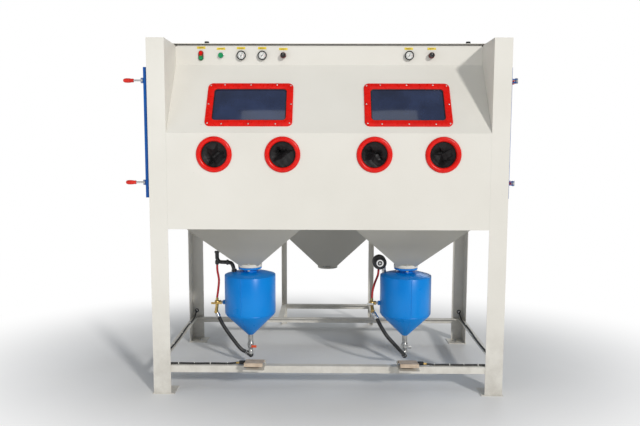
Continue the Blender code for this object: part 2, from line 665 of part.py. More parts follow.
def air_valve(side, x_wall, elbow, ferrule):
    """Ball valve on the pot's left wall: port, body, elbow and the hose ferrule at its end."""
    x = x_wall - 0.052
    z = AIR_PORT_Z
    base = rod(f"{side}_air_valve", (x_wall - GAP, POT_Y, z), (x, POT_Y, z), 0.011, sides=10)
    parts = [ball("valve_body", (x, POT_Y, z), 0.018, tool=True),
             rod("valve_elbow", (x, POT_Y, z), elbow, 0.0125, sides=10, tool=True),
             ball("elbow_corner", elbow, 0.0135, tool=True),
             rod("valve_ferrule", elbow, ferrule, 0.0155, sides=12, tool=True),
             rod("valve_top", (x, POT_Y, z), (x, POT_Y, z + 0.030), 0.009, sides=10, tool=True),
             rod("valve_stem", (x, POT_Y, z), (x, POT_Y - 0.026, z), 0.006, sides=12, tool=True)]
    combine(base, parts)
    paint(base, BRASS)
    stem = (x, POT_Y - 0.0263, z)
    handle = rod(f"{side}_air_valve_handle", stem, (x, POT_Y - 0.034, z), 0.008, sides=10)
    inner_reach = 0.034 if side == "left" else 0.006
    blade = box("handle_blade", (x - 0.034, POT_Y - 0.033, z - 0.006),
                (x + inner_reach, POT_Y - 0.028, z + 0.006), tool=True)
    combine(handle, [blade])
    paint(handle, BRASS)
    return pivot(handle, (x, POT_Y, z))


def discharge_valve(side, x, port):
    """Shut-off valve under the pot's nipple, and the tee that the hose ends in."""
    z = DISCHARGE_Z
    middle = Vector((x, POT_Y, TEE_Z))
    base = rod(f"{side}_discharge_valve", (x, POT_Y, 0.1657), middle, 0.016, sides=12)
    toward = Vector(port).normalized()
    parts = [ball("discharge_body", (x, POT_Y, z), 0.021, tool=True),
             ball("tee_corner", middle, 0.0175, tool=True),
             rod("discharge_tee", middle, middle + toward * TEE_REACH, 0.0145, sides=12, tool=True),
             rod("discharge_stem", (x, POT_Y, z), (x, POT_Y - 0.028, z), 0.006, sides=12,
                 tool=True)]
    paint(combine(base, parts), STEEL)
    hub_end = POT_Y - 0.037
    handle = rod(f"{side}_discharge_handle", (x, POT_Y - 0.0283, z), (x, hub_end, z), 0.009,
                 sides=10)
    combine(handle, [box("handle_arm", (x, hub_end + 0.001, z - 0.012),
                         (x + 0.042, hub_end + 0.006, z + 0.006), tool=True)])
    paint(handle, RED)
    return pivot(handle, (x, POT_Y, z))


def pot_services():
    """Supply hoses, red pilot hoses, and the relief fittings on the pots' shoulders."""
    left_air = ((-0.7042, 0.5, 0.3196), (-0.686, 0.5, 0.280), (-0.649, 0.5, 0.220),
                (-0.604, 0.5, 0.157), (-0.564, 0.5, 0.1075), (-0.5320, 0.5, 0.0885))
    right_air = ((0.3161, 0.4283, 0.3275), (0.336, 0.402, 0.292), (0.372, 0.375, 0.238),
                 (0.416, 0.367, 0.190), (0.453, 0.390, 0.145), (0.4773, 0.4402, 0.1092),
                 (0.4888, 0.4704, 0.0894))
    paint(tube("left_air_hose", left_air, AIR_HOSE_RADIUS), RUBBER)
    paint(tube("right_air_hose", right_air, AIR_HOSE_RADIUS), RUBBER)
    left_pilot = ((-0.712, 0.5, 0.6625), (-0.711, 0.5, 0.625), (-0.702, 0.5, 0.565),
                  (-0.707, 0.5, 0.505), (-0.715, 0.5, 0.4500))
    right_pilot = ((0.330, 0.550, 0.6250), (0.325, 0.545, 0.590), (0.306, 0.530, 0.545),
                   (0.290, 0.510, 0.495), (0.285, 0.500, 0.4500))
    paint(tube("left_pilot_hose", left_pilot, PILOT_HOSE_RADIUS), HOSE_RED)
    paint(tube("right_pilot_hose", right_pilot, PILOT_HOSE_RADIUS), HOSE_RED)
    relief = rod("left_relief_pipe", (-0.600, 0.5, 0.6300), (-0.618, 0.5, 0.680), 0.013, sides=10)
    combine(relief, [
        rod("relief_run", (-0.618, 0.5, 0.680), (-0.724, 0.5, 0.680), 0.0155, sides=10, tool=True),
        ball("relief_corner", (-0.618, 0.5, 0.680), 0.017, tool=True),
        rod("relief_riser", (-0.712, 0.5, 0.675), (-0.712, 0.5, 0.752), 0.013, sides=10, tool=True),
    ])
    paint(relief, GAUGE)
    x, z = SILENCER
    silencer = rod("right_silencer", (x + 0.030, 0.56, 0.6150), (x + 0.030, 0.56, 0.655), 0.012,
                   sides=10)
    combine(silencer, [
        rod("silencer_body", (x, 0.605, z), (x, 0.527, z), 0.045, sides=16, tool=True),
        rod("silencer_cap", (x, 0.530, z), (x, 0.515, z), 0.034, sides=16, tool=True)])
    paint(silencer, GAUGE)


def front_rail():
    """Front rail with the two pedal brackets welded on it."""
    half = HALF_WIDTH - SHEET - RAIL - 2 * GAP
    rail = angle_rail("front_rail", -half, half, SHEET + GAP, 1, RAIL_TOP)
    parts = []
    for x in PEDAL_X.values():
        parts.append(box("pedal_base", (x - 0.058, PEDAL_FRONT, RAIL_TOP - 0.001),
                         (x + 0.058, 0.042, RAIL_TOP + 0.005), tool=True))
        for ear in (-1, 1):
            near, far = sorted((x + ear * 0.0535, x + ear * 0.0575))
            parts.append(box("pedal_ear", (near, PEDAL_PIN[0] - 0.010, RAIL_TOP),
                             (far, PEDAL_PIN[0] + 0.010, PEDAL_PIN[1] + 0.007), tool=True))
        parts.append(rod("pedal_pin", (x - 0.056, *PEDAL_PIN), (x + 0.056, *PEDAL_PIN), 0.003,
                         sides=10, tool=True))
    return combine(rail, parts)


def pedal(side, x):
    """Foot treadle: a sloping plate with a front lip, turning on the bracket's pin."""
    y, z = PEDAL_PIN
    front = PEDAL_FRONT + 0.004
    raised = z + 0.022
    outline = [(front, raised - 0.016), (front, raised), (y, z + 0.0055)]
    plate = folded_sheet(f"{side}_pedal", outline, x - 0.052, x + 0.052, 0.004, offset=1.0)
    eye = rod(f"{side}_pedal_eye", (x - 0.052, y, z), (x + 0.052, y, z), 0.0075, sides=14,
              tool=True)
    combine(plate, [eye])
    cut(plate, rod(f"{side}_pedal_bore", (x - 0.06, y, z), (x + 0.06, y, z), 0.0035, sides=10,
                   tool=True))
    paint(plate, BEIGE)
    return pivot(plate, (x, y, z))


def collector():
    """Dust collector: sheet housing over a pyramid hopper, and its hinged rear door."""
    half = COLLECTOR_HALF
    front = DEPTH + GAP
    rear = COLLECTOR_REAR
    housing = box("collector_housing", (-half, front, COLLECTOR_BOTTOM),
                  (half, rear, COLLECTOR_TOP))
    cut(housing, box("collector_inside", (-half + SHEET, front + SHEET, COLLECTOR_BOTTOM - 0.01),
                     (half - SHEET, rear - SHEET, COLLECTOR_TOP - SHEET), tool=True),
        box("collector_doorway", (-0.30, rear - 0.01, 1.00), (0.30, rear + 0.01, 1.84), tool=True),
        rod("collector_inlet", (0, front - 0.01, 1.65), (0, front + 0.02, 1.65), 0.12, sides=24,
            tool=True))
    bm = bmesh.new()
    rim = 0.007
    upper = [bm.verts.new((x, y, COLLECTOR_BOTTOM + 0.001)) for x, y in
             ((rim - half, front + rim), (half - rim, front + rim),
              (half - rim, rear - rim), (rim - half, rear - rim))]
    lower = [bm.verts.new((dx * 0.06, DUST_Y + dy * 0.06, DUST_Z + 0.010))
             for dx, dy in ((-1, -1), (1, -1), (1, 1), (-1, 1))]
    for i in range(4):
        bm.faces.new((upper[i], upper[(i + 1) % 4], lower[(i + 1) % 4], lower[i]))
    funnel = mesh_object("collector_hopper", bm, tool=True)
    wall = funnel.modifiers.new("wall", "SOLIDIFY")
    wall.thickness = SHEET
    wall.offset = -1.0
    wall.use_even_offset = True
    ring = ((FLANGE_RADIUS, DUST_Z + 0.012), (FLANGE_RADIUS, DUST_Z), (0.045, DUST_Z),
            (0.045, DUST_Z + 0.012))
    flange = turned("dust_flange", ring, (0, DUST_Y, 0), steps=20, ring=True, tool=True)
    lip = box("collector_lip", (-half, front, COLLECTOR_BOTTOM),
              (half, rear, COLLECTOR_BOTTOM + SHEET), tool=True)
    cut(lip, box("collector_mouth", (-half + 0.012, front + 0.012, COLLECTOR_BOTTOM - 0.01),
                 (half - 0.012, rear - 0.012, COLLECTOR_BOTTOM + 0.01), tool=True))
    paint(combine(housing, [lip, funnel, flange]), CREAM)
    face = rear + 0.0005
    leaf = box("collector_door", (-0.325, face, 0.975), (0.325, face + 0.018, 1.865))
    hinge_x, hinge_y = COLLECTOR_HINGE
    knuckle = rod("collector_knuckle", (hinge_x, hinge_y, 1.05), (hinge_x, hinge_y, 1.79), 0.007,
                  sides=12, tool=True)
    combine(leaf, [knuckle, box("collector_door_web", (hinge_x, hinge_y - 0.004, 1.05),
                                (-0.32, hinge_y + 0.004, 1.79), tool=True)])
    paint(leaf, CREAM)
    return pivot(leaf, (hinge_x, hinge_y, 0))


def build():
    """Every part of the cabinet."""
    for side, sign in (("left", -1), ("right", 1)):
        side_frame(side, sign)
        side_panel(side, sign)
        hopper(side, sign)
        door(side, sign)
        window(side, sign)
        blast_pot(side, sign)
        for level in LATCH_Z:
            latch_lever(side, sign, level, opened=side == "left")
    angle_rail("rear_rail", -HALF_WIDTH + SHEET + RAIL + 2 * GAP,
               HALF_WIDTH - SHEET - RAIL - 2 * GAP, DEPTH - SHEET - GAP, -1, 0.163)
    front_rail()
    collector_frame()
    front_panel()
    rear_and_roof()
    work_grate()
    for name, x in zip(ARM_NAMES, ARM_X):
        arm_port(name, x)
    controls()
    air_valve("left", -POT_X - POT_RADIUS, (-0.722, 0.5, 0.356), (-0.7050, 0.5, 0.3215))
    air_valve("right", POT_X - POT_RADIUS, (0.288, 0.466, 0.372), (0.3150, 0.4300, 0.3297))
    discharge_valve("left", -POT_X, (-0.866, 0, 0.5))
    discharge_valve("right", POT_X, (-0.302, -0.797, 0.522))
    pot_services()
    for side, x in PEDAL_X.items():
        pedal(side, x)
    collector()


build()
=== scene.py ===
"""Looks for the double-station sandblast cabinet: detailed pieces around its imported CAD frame."""
import math
import random

import bmesh
import bpy
from mathutils import Matrix, Vector


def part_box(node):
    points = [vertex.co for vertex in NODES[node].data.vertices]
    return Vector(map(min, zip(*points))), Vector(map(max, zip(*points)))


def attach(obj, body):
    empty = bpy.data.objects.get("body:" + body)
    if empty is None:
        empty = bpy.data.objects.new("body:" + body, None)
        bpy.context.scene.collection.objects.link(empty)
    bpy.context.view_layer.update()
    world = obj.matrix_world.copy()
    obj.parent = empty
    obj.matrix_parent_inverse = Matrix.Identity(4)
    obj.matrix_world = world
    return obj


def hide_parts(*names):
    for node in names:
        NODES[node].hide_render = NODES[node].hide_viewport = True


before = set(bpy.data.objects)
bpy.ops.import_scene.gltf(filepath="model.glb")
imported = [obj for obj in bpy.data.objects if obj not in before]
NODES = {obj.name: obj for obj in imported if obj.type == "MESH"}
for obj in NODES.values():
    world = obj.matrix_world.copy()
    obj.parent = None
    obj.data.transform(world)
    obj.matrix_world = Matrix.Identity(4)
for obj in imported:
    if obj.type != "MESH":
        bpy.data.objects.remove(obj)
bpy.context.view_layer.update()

# The cabinet's own coordinates, as the CAD writes them: X from the middle, Y from the front face.
PANEL_LOW, PANEL_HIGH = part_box("front_panel")
SHIFT = Vector(((PANEL_LOW.x + PANEL_HIGH.x) / 2, PANEL_LOW.y, 0.0))
ROOT = "cabinet"

BEND_Z = 1.493
SLOPE_TOP_Y = 0.27
SLOPE_TOP_Z = 1.895
SLOPE_ANGLE = math.atan2(SLOPE_TOP_Z - BEND_Z, SLOPE_TOP_Y)
ARM_Z = 1.375
CONTROL_Z = 1.95
POT_X = 0.5
POT_Y = 0.5
COLLECTOR_Y = 1.3
WINDOW_X = 0.4465
AIR_VALVE_Z = 0.418
DISCHARGE_Z = 0.138
RAIL_TUBE_Z = 0.1735
CUFF_STEPS = 120
WHITE = (1.0, 1.0, 1.0, 1.0)


def at(x, y, z):
    """A point in the frame from the cabinet's own coordinates."""
    return SHIFT + Vector((x, y, z))


def aim(normal, up=(0, 0, 1)):
    """A rotation that turns local +Z to the normal, with local +Y near up."""
    z = Vector(normal).normalized()
    x = Vector(up).cross(z)
    if x.length < 1e-6:
        x = Vector((1, 0, 0))
    x.normalize()
    y = z.cross(x)
    return Matrix((x, y, z)).transposed().to_4x4()


def spot(x, y, z, normal=(0, -1, 0), up=(0, 0, 1)):
    """A placement at a cabinet point, local +Z along the normal."""
    return upright(x, y, z) @ aim(normal, up)


def on_slope(x, along, out=0.0):
    """A placement on the sloped panel: local X across, Y up the slope, Z out of it."""
    up = Vector((0, math.cos(SLOPE_ANGLE), math.sin(SLOPE_ANGLE)))
    normal = Vector((0, -math.sin(SLOPE_ANGLE), math.cos(SLOPE_ANGLE)))
    place = at(x, 0, BEND_Z) + up * along + normal * out
    return Matrix.Translation(place) @ aim(normal, up)


# --- materials
class Finish:
    """A node material built step by step around one Principled shader."""

    def __init__(self, name, roughness=0.5, metallic=0.0):
        self.material = bpy.data.materials.new(name)
        self.material.use_nodes = True
        self.tree = self.material.node_tree
        self.shader = self.tree.nodes["Principled BSDF"]
        self.set(Roughness=roughness, Metallic=metallic)
        self.where = self.node("ShaderNodeTexCoord").outputs["Object"]

    def feed(self, socket, value):
        """Link a socket into another, or set it to a constant."""
        if isinstance(value, bpy.types.NodeSocket):
            self.tree.links.new(value, socket)
        else:
            socket.default_value = value

    def node(self, kind, inputs=None, **settings):
        made = self.tree.nodes.new(kind)
        for key, value in settings.items():
            setattr(made, key, value)
        for key, value in (inputs or {}).items():
            self.feed(made.inputs[key], value)
        return made

    def set(self, **values):
        for key, value in values.items():
            self.feed(self.shader.inputs[key.replace("_", " ")], value)

    def noise(self, scale, detail=3.0, rough=0.5, stretch=None):
        where = self.where
        if stretch:
            where = self.node("ShaderNodeMapping", {"Scale": stretch, "Vector": where}).outputs["Vector"]
        return self.node("ShaderNodeTexNoise", {"Scale": scale, "Detail": detail, "Roughness": rough,
            "Vector": where}).outputs["Fac"]

    def ramp(self, factor, stops):
        made = self.node("ShaderNodeValToRGB", {"Fac": factor})
        points = made.color_ramp.elements
        for element, (place, colour) in zip(points, stops):
            element.position = place
            element.color = (*colour, 1.0)
        for place, colour in stops[len(points):]:
            points.new(place).color = (*colour, 1.0)
        return made.outputs["Color"]

    def mix(self, factor, a, b):
        made = self.node("ShaderNodeMix", data_type="RGBA")
        factor_in, a_in, b_in = (s for s in made.inputs if s.enabled)
        self.feed(factor_in, factor)
        for socket, value in ((a_in, a), (b_in, b)):
            self.feed(socket, (*value, 1.0) if isinstance(value, tuple) else value)
        return [s for s in made.outputs if s.enabled][0]

    def remap(self, value, low, high, to_low=0.0, to_high=1.0):
        return self.node("ShaderNodeMapRange", {"Value": value, "From Min": low, "From Max": high,
            "To Min": to_low, "To Max": to_high}).outputs["Result"]

    def colour(self, socket):
        self.set(Base_Color=socket)

    def rough(self, grain, low, high):
        """Roughness that follows a noise of the given scale and detail."""
        self.set(Roughness=self.remap(self.noise(*grain), 0.0, 1.0, low, high))

    def bump(self, height, distance, strength):
        """Lay a relief, from a noise or a socket, over the relief the shader already has."""
        if isinstance(height, tuple):
            height = self.noise(*height)
        before = [link.from_socket for link in self.shader.inputs["Normal"].links]
        made = self.node("ShaderNodeBump", {"Distance": distance, "Strength": strength, "Height": height})
        for normal in before:
            self.feed(made.inputs["Normal"], normal)
        self.set(Normal=made.outputs["Normal"])


def painted(name, base, dark, light, roughness, low_darkening):
    """Sprayed paint: soft cloudiness, orange peel, fine scratches, and brown patches that darken it
    towards the bottom.
    """
    look = Finish(name, roughness)
    tone = look.ramp(look.noise(2.2, 4), ((0.3, dark), (0.52, base), (0.75, light)))
    scratch = look.noise(26, 5, 0.7, (1, 1, 14))
    tone = look.mix(look.remap(scratch, 0.66, 0.72, 0.0, 0.14), tone, dark)
    # Brown patches darken the paint below 0.55 m, more strongly towards the bottom.
    height = look.node("ShaderNodeSeparateXYZ", {0: look.where}).outputs["Z"]
    low = look.remap(height, 0.0, 0.55, low_darkening, 0.0)
    low_patches = look.remap(look.noise(11, 6, 0.65), 0.35, 0.7)
    low_dark_patches = look.node("ShaderNodeMath", {0: low, 1: low_patches}, operation="MULTIPLY",
        use_clamp=True).outputs[0]
    tone = look.mix(low_dark_patches, tone, (0.16, 0.12, 0.08))
    spots = look.remap(look.noise(55, 3, 0.6), 0.745, 0.785, 0.0, 0.3)
    tone = look.mix(spots, tone, (0.2, 0.16, 0.12))
    look.colour(tone)
    look.rough((9, 3), roughness - 0.09, roughness + 0.1)
    look.bump((420, 2), 0.0004, 0.22)
    look.bump((240, 2), 0.0003, 0.1)
    look.set(Specular_IOR_Level=0.3)
    return look.material


def moulded(name, base, dark, roughness, grain=900):
    """Moulded plastic: fine grain, slight mottling and rubbed high spots."""
    look = Finish(name, roughness)
    tone = look.ramp(look.noise(30, 4), ((0.3, dark), (0.6, base)))
    scuff = look.remap(look.noise(70, 5, 0.7), 0.66, 0.74, 0.0, 0.3)
    tone = look.mix(scuff, tone, tuple(min(1.0, c * 0.6 + 0.22) for c in base))
    look.colour(tone)
    look.rough((45, 3), roughness - 0.08, roughness + 0.14)
    look.bump((grain, 2), 0.0003, 0.25)
    look.set(Specular_IOR_Level=0.3)
    return look.material


def metal(name, base, dark, roughness, grain=(1, 1, 1)):
    """Bare metal: directional machining marks, tarnish clouds and small pits."""
    look = Finish(name, roughness, 1.0)
    tone = look.ramp(look.noise(38, 5, 0.6), ((0.3, dark), (0.58, base)))
    look.colour(tone)
    look.rough((160, 3, 0.6, grain), roughness - 0.08, roughness + 0.16)
    look.bump((260, 3, 0.6, grain), 0.0003, 0.3)
    return look.material


def glove_rubber():
    """Dusty black rubberised cloth with fine creases and a pale powder on the ridges."""
    look = Finish("glove_rubber", 0.62)
    dust = look.remap(look.noise(34, 6, 0.65), 0.5, 0.78, 0.0, 0.3)
    look.colour(look.mix(dust, (0.004, 0.004, 0.0044), (0.034, 0.032, 0.029)))
    look.rough((60, 3), 0.34, 0.62)
    weave = look.node("ShaderNodeTexVoronoi", {"Scale": 520, "Vector": look.where})
    look.bump(weave.outputs["Distance"], 0.0005, 0.35)
    look.bump((46, 5, 0.6, (1, 2.4, 1)), 0.006, 0.5)
    look.set(Sheen_Weight=0.04, Sheen_Roughness=0.45, Specular_IOR_Level=0.38)
    return look.material


def hose_rubber(name, base, worn):
    """Extruded hose: lengthwise wrap marks, chalky dust and a soft sheen."""
    look = Finish(name, 0.5)
    dust = look.remap(look.noise(22, 5, 0.6), 0.48, 0.8, 0.0, 0.45)
    look.colour(look.mix(dust, base, worn))
    look.rough((50, 3), 0.36, 0.66)
    look.bump((320, 3, 0.6), 0.0005, 0.35)
    return look.material


def pane_glass():
    """Dark laminated pane behind a sand-scoured cover film."""
    look = Finish("pane_glass", 0.1)
    look.colour(look.ramp(look.noise(5, 4, 0.6), ((0.3, (0.005, 0.012, 0.042)),
        (0.7, (0.018, 0.034, 0.095)))))
    look.rough((18, 4, 0.6), 0.05, 0.2)
    look.set(Specular_IOR_Level=0.8, Coat_Weight=0.6, Coat_Roughness=0.05)
    look.bump((7, 2), 0.002, 0.1)
    return look.material


def blasted_steel():
    """Matt grit-worn steel inside the cabinet, with brown dust lying in it."""
    look = Finish("blasted_steel", 0.7, 0.35)
    tone = look.ramp(look.noise(7, 5, 0.6), ((0.3, (0.22, 0.2, 0.17)), (0.7, (0.42, 0.4, 0.36))))
    look.colour(look.mix(look.remap(look.noise(38, 5), 0.5, 0.7, 0, 0.5), tone, (0.3, 0.22, 0.14)))
    look.rough((30, 3), 0.55, 0.85)
    look.bump((500, 3), 0.0006, 0.5)
    return look.material


def dial_face():
    """Printed gauge card: off-white lacquer with faint ageing."""
    look = Finish("dial_face", 0.35)
    look.colour(look.ramp(look.noise(90, 3), ((0.3, (0.74, 0.74, 0.7)), (0.7, (0.86, 0.86, 0.83)))))
    look.rough((60, 2), 0.28, 0.42)
    look.bump((900, 2), 0.0002, 0.15)
    return look.material


def clear_lens():
    """Thin clear cover over a dial."""
    look = Finish("clear_lens", 0.04)
    look.set(Transmission_Weight=1.0, IOR=1.45, Alpha=0.25)
    look.colour(look.ramp(look.noise(40, 2), ((0.3, (0.92, 0.94, 0.94)), (0.7, (1.0, 1.0, 1.0)))))
    look.rough((25, 3), 0.02, 0.08)
    return look.material


CREAM = painted("cream_coat", (0.735, 0.712, 0.65), (0.708, 0.684, 0.62), (0.755, 0.733, 0.674), 0.42,
    0.35)
# A darker copy of the body's cream: painted shade for the hoppers under the cabinet.
HOPPER_SHADED_CREAM = painted("hopper_cream_painted_shade", (0.47, 0.455, 0.405), (0.42, 0.405, 0.36), (0.5, 0.484, 0.434),
    0.5, 0.0)
BLUE = painted("pot_enamel", (0.0, 0.25, 0.76), (0.0, 0.205, 0.68), (0.0, 0.29, 0.82), 0.3, 0.06)
NAVY = painted("door_enamel", (0.004, 0.085, 0.34), (0.002, 0.055, 0.25), (0.01, 0.11, 0.42), 0.32, 0.0)
RED = moulded("red_coat", (0.74, 0.006, 0.001), (0.62, 0.004, 0.001), 0.26)
DARK_RED = moulded("dark_red_lens", (0.33, 0.012, 0.008), (0.22, 0.006, 0.004), 0.3)
DARK_GREEN = moulded("dark_green_lens", (0.01, 0.14, 0.045), (0.006, 0.09, 0.03), 0.3)
GRIP_RED = moulded("red_grip", (0.7, 0.025, 0.012), (0.52, 0.014, 0.008), 0.46, 500)
ORANGE = moulded("handle_orange", (0.8, 0.1, 0.03), (0.62, 0.06, 0.02), 0.4)
GREEN = moulded("green_button", (0.015, 0.3, 0.11), (0.008, 0.22, 0.07), 0.32)
BLACK = moulded("black_plastic", (0.02, 0.02, 0.021), (0.01, 0.01, 0.011), 0.42)
KNOB_RED = moulded("knob_red", (0.16, 0.008, 0.01), (0.08, 0.004, 0.005), 0.3)
YELLOW = moulded("label_yellow", (0.8, 0.62, 0.06), (0.7, 0.52, 0.04), 0.38)
BEIGE = moulded("pedal_beige", (0.62, 0.5, 0.38), (0.45, 0.35, 0.26), 0.58, 300)
WHITE_TIE = moulded("tie_white", (0.78, 0.78, 0.74), (0.66, 0.66, 0.62), 0.45)
STEEL = metal("zinc_steel", (0.66, 0.66, 0.64), (0.4, 0.4, 0.39), 0.3)
CHROME = metal("bright_steel", (0.8, 0.8, 0.79), (0.6, 0.6, 0.6), 0.18)
IRON = metal("black_iron", (0.1, 0.1, 0.1), (0.045, 0.045, 0.045), 0.46)
BRASS = metal("worn_brass", (0.72, 0.5, 0.18), (0.42, 0.27, 0.09), 0.3)
GLOVE = glove_rubber()
HOSE = hose_rubber("hose_black", (0.014, 0.014, 0.015), (0.13, 0.12, 0.11))
HOSE_RED = hose_rubber("hose_red", (0.42, 0.006, 0.01), (0.52, 0.12, 0.1))
SEAL = hose_rubber("seal_rubber", (0.01, 0.01, 0.01), (0.08, 0.08, 0.075))
PANE = pane_glass()
GRIT = blasted_steel()
DIAL = dial_face()
LENS = clear_lens()
GREY_STRIP = moulded("roof_edge_grey", (0.105, 0.102, 0.095), (0.07, 0.068, 0.062), 0.55)
LABEL_INK = moulded("label_print", (0.3, 0.17, 0.03), (0.22, 0.12, 0.02), 0.45)
INK = moulded("dial_ink", (0.01, 0.01, 0.01), (0.004, 0.004, 0.004), 0.5)


# --- modelling helpers
def show(piece):
    """Put an object in the scene."""
    bpy.context.scene.collection.objects.link(piece)
    return piece


def facing(direction):
    """A rotation that turns local +Z along a direction."""
    return Vector(direction).to_track_quat("Z", "Y").to_matrix().to_4x4()


def upright(x, y, z):
    """A placement at a cabinet point, local +Z up."""
    return Matrix.Translation(at(x, y, z))


def add(name, bm, place, finish, body=ROOT, smooth=40):
    """The bmesh, moved to its place, as a finished piece that rides on a body."""
    mesh = to_mesh(name, bm, place)
    piece = show(bpy.data.objects.new(name, mesh))
    mesh.materials.append(finish)
    if smooth:
        mesh.shade_smooth()
        mesh.set_sharp_from_angle(angle=math.radians(smooth))
    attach(piece, body)
    return piece


def to_mesh(name, bm, place=None):
    """A mesh from a bmesh, moved to its place."""
    if place is not None:
        bmesh.ops.transform(bm, matrix=place, verts=bm.verts)
    bmesh.ops.recalc_face_normals(bm, faces=bm.faces)
    mesh = bpy.data.meshes.new(name)
    bm.to_mesh(mesh)
    bm.free()
    return mesh


def block(bm, size, centre=(0, 0, 0), edge=0.0, segments=2, turn=None):
    """Add a box with rounded edges to the bmesh."""
    made = bmesh.ops.create_cube(bm, size=1.0)
    verts = made["verts"]
    bmesh.ops.scale(bm, vec=size, verts=verts)
    if edge:
        edges = list({e for v in verts for e in v.link_edges})
        made = bmesh.ops.bevel(bm, geom=edges, offset=edge, segments=segments, profile=0.5,
            affect="EDGES")
        verts = list({v for f in made["faces"] for v in f.verts} | {v for v in verts if v.is_valid})
    if turn is not None:
        bmesh.ops.transform(bm, matrix=turn, verts=verts)
    bmesh.ops.translate(bm, vec=centre, verts=verts)
    return verts


def skin(bm, loops):
    """Add the faces between each loop of vertices and the next."""
    for a, b in zip(loops, loops[1:]):
        for i in range(len(a)):
            j = (i + 1) % len(a)
            bm.faces.new((a[i], a[j], b[j], b[i]))


def cap_ends(bm, loops):
    """Close a stack of loops at both ends."""
    bm.faces.new(loops[-1])
    bm.faces.new(loops[0][::-1])


def circle(bm, radius, height, steps):
    """Add a ring of vertices round local Z."""
    return [bm.verts.new((radius * math.cos(2 * math.pi * i / steps),
        radius * math.sin(2 * math.pi * i / steps), height)) for i in range(steps)]


def lathe(bm, profile, steps=48, close=False):
    """Add (radius, height) points turned about local Z."""
    rings = []
    for radius, height in profile:
        rings.append(circle(bm, radius, height, steps if radius > 1e-6 else 1))
    if close:
        rings.append(rings[0])
    for a, b in zip(rings, rings[1:]):
        if len(a) == len(b) == steps:
            skin(bm, (a, b))
            continue
        for i in range(steps if len(a) + len(b) > 2 else 0):
            j = (i + 1) % steps
            bm.faces.new((a[0], b[i], b[j]) if len(a) == 1 else (a[i], a[j], b[0]))


def turned(name, profile, place, finish, body=ROOT, steps=48, close=False, smooth=40):
    """A lathed piece at a placement."""
    bm = bmesh.new()
    lathe(bm, profile, steps, close)
    return add(name, bm, place, finish, body, smooth)


def mm(*points):
    """Profile points in metres, from (radius, height) in millimetres."""
    return [(radius / 1000, height / 1000) for radius, height in points]


def soft(profile, radius=0.0015):
    """The profile with each inner corner cut by a small chamfer."""
    points = [Vector(p) for p in profile]
    out = [points[0]]
    for before, corner, after in zip(points, points[1:], points[2:]):
        for other in (before, after):
            run = other - corner
            reach = min(radius, run.length * 0.45)
            out.append(corner + run.normalized() * reach)
    out.append(points[-1])
    return [tuple(p) for p in out]


def bar(name, start, end, radius, finish, body=ROOT, steps=24, edge=0.001):
    """A round bar with eased ends between two frame points."""
    run = Vector(end) - Vector(start)
    edge = min(edge, radius * 0.5, run.length * 0.3)
    profile = ((0, 0), (radius - edge, 0), (radius, edge), (radius, run.length - edge),
        (radius - edge, run.length), (0, run.length))
    place = Matrix.Translation(start) @ facing(run)
    return turned(name, profile, place, finish, body, steps)


def smooth_route(route, count):
    """Evenly spaced points on a Catmull-Rom curve through the route."""
    knots = [Vector(p) for p in route]
    ends = [2 * knots[0] - knots[1], *knots, 2 * knots[-1] - knots[-2]]
    dense = []
    for index in range(1, len(ends) - 2):
        a, b, c, d = ends[index - 1:index + 3]
        for step in range(40):
            t = step / 40
            dense.append(0.5 * (2 * b + (c - a) * t + (2 * a - 5 * b + 4 * c - d) * t ** 2
                + (3 * b - a - 3 * c + d) * t ** 3))
    dense.append(knots[-1])
    lengths = [0.0]
    for a, b in zip(dense, dense[1:]):
        lengths.append(lengths[-1] + (b - a).length)
    out = []
    k = 0
    for i in range(count):
        goal = lengths[-1] * i / (count - 1)
        while k < len(lengths) - 2 and lengths[k + 1] < goal:
            k += 1
        t = (goal - lengths[k]) / max(1e-9, lengths[k + 1] - lengths[k])
        out.append(dense[k].lerp(dense[k + 1], min(1.0, max(0.0, t))))
    return out


def hose(name, route, radius, finish, body=ROOT, count=40, sides=6):
    """A smooth curve tube through cabinet points, and its length."""
    points = smooth_route([at(*p) for p in route], count)
    curve = bpy.data.curves.new(name, "CURVE")
    curve.dimensions = "3D"
    curve.bevel_depth = radius
    curve.bevel_resolution = sides
    curve.use_fill_caps = True
    line = curve.splines.new("POLY")
    line.points.add(len(points) - 1)
    for knot, point in zip(line.points, points):
        knot.co = (*point, 1.0)
    line.use_smooth = True
    piece = show(bpy.data.objects.new(name, curve))
    curve.materials.append(finish)
    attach(piece, body)
    length = sum((b - a).length for a, b in zip(points, points[1:]))
    return piece, points, length


def rounded_rectangle(width, height, radius, steps=6):
    """Points of a rounded rectangle, counter-clockwise from the right."""
    out = []
    for cx, cy, start in ((1, -1, -90), (1, 1, 0), (-1, 1, 90), (-1, -1, 180)):
        for i in range(steps + 1):
            angle = math.radians(start + 90 * i / steps)
            out.append((cx * (width / 2 - radius) + radius * math.cos(angle), cy * (height / 2 - radius)
                + radius * math.sin(angle)))
    return out


def frame_ring(bm, outer, inner, rings):
    """Add a closed ring between two outlines: rings are (mix from outer to inner, height)."""
    loops = []
    for mix, height in rings:
        loops.append([bm.verts.new((o[0] + (i[0] - o[0]) * mix, o[1] + (i[1] - o[1]) * mix, height))
            for o, i in zip(outer, inner)])
    skin(bm, loops + loops[:1])


def slab(name, size, centre, edge, place, finish, body=ROOT, smooth=30):
    """A single box with eased edges as a piece."""
    bm = bmesh.new()
    block(bm, size, centre, edge)
    return add(name, bm, place, finish, body, smooth)


def ball_profile(radius):
    """The profile of a ball, from its foot to its top."""
    return [(radius * math.sin(a), -radius * math.cos(a)) for a in (math.radians(d)
        for d in range(0, 181, 12))]


def bolt_circle(x, y, z, radius, count, first):
    """Upright placements evenly round a circle."""
    angles = [math.radians(first + 360 / count * i) for i in range(count)]
    return [upright(x + radius * math.cos(a), y + radius * math.sin(a), z) for a in angles]


def repaint(finish, *nodes):
    """Give carried-over CAD nodes a finish of their own."""
    for name in nodes:
        piece = NODES[name]
        piece.data.materials.clear()
        piece.data.materials.append(finish)


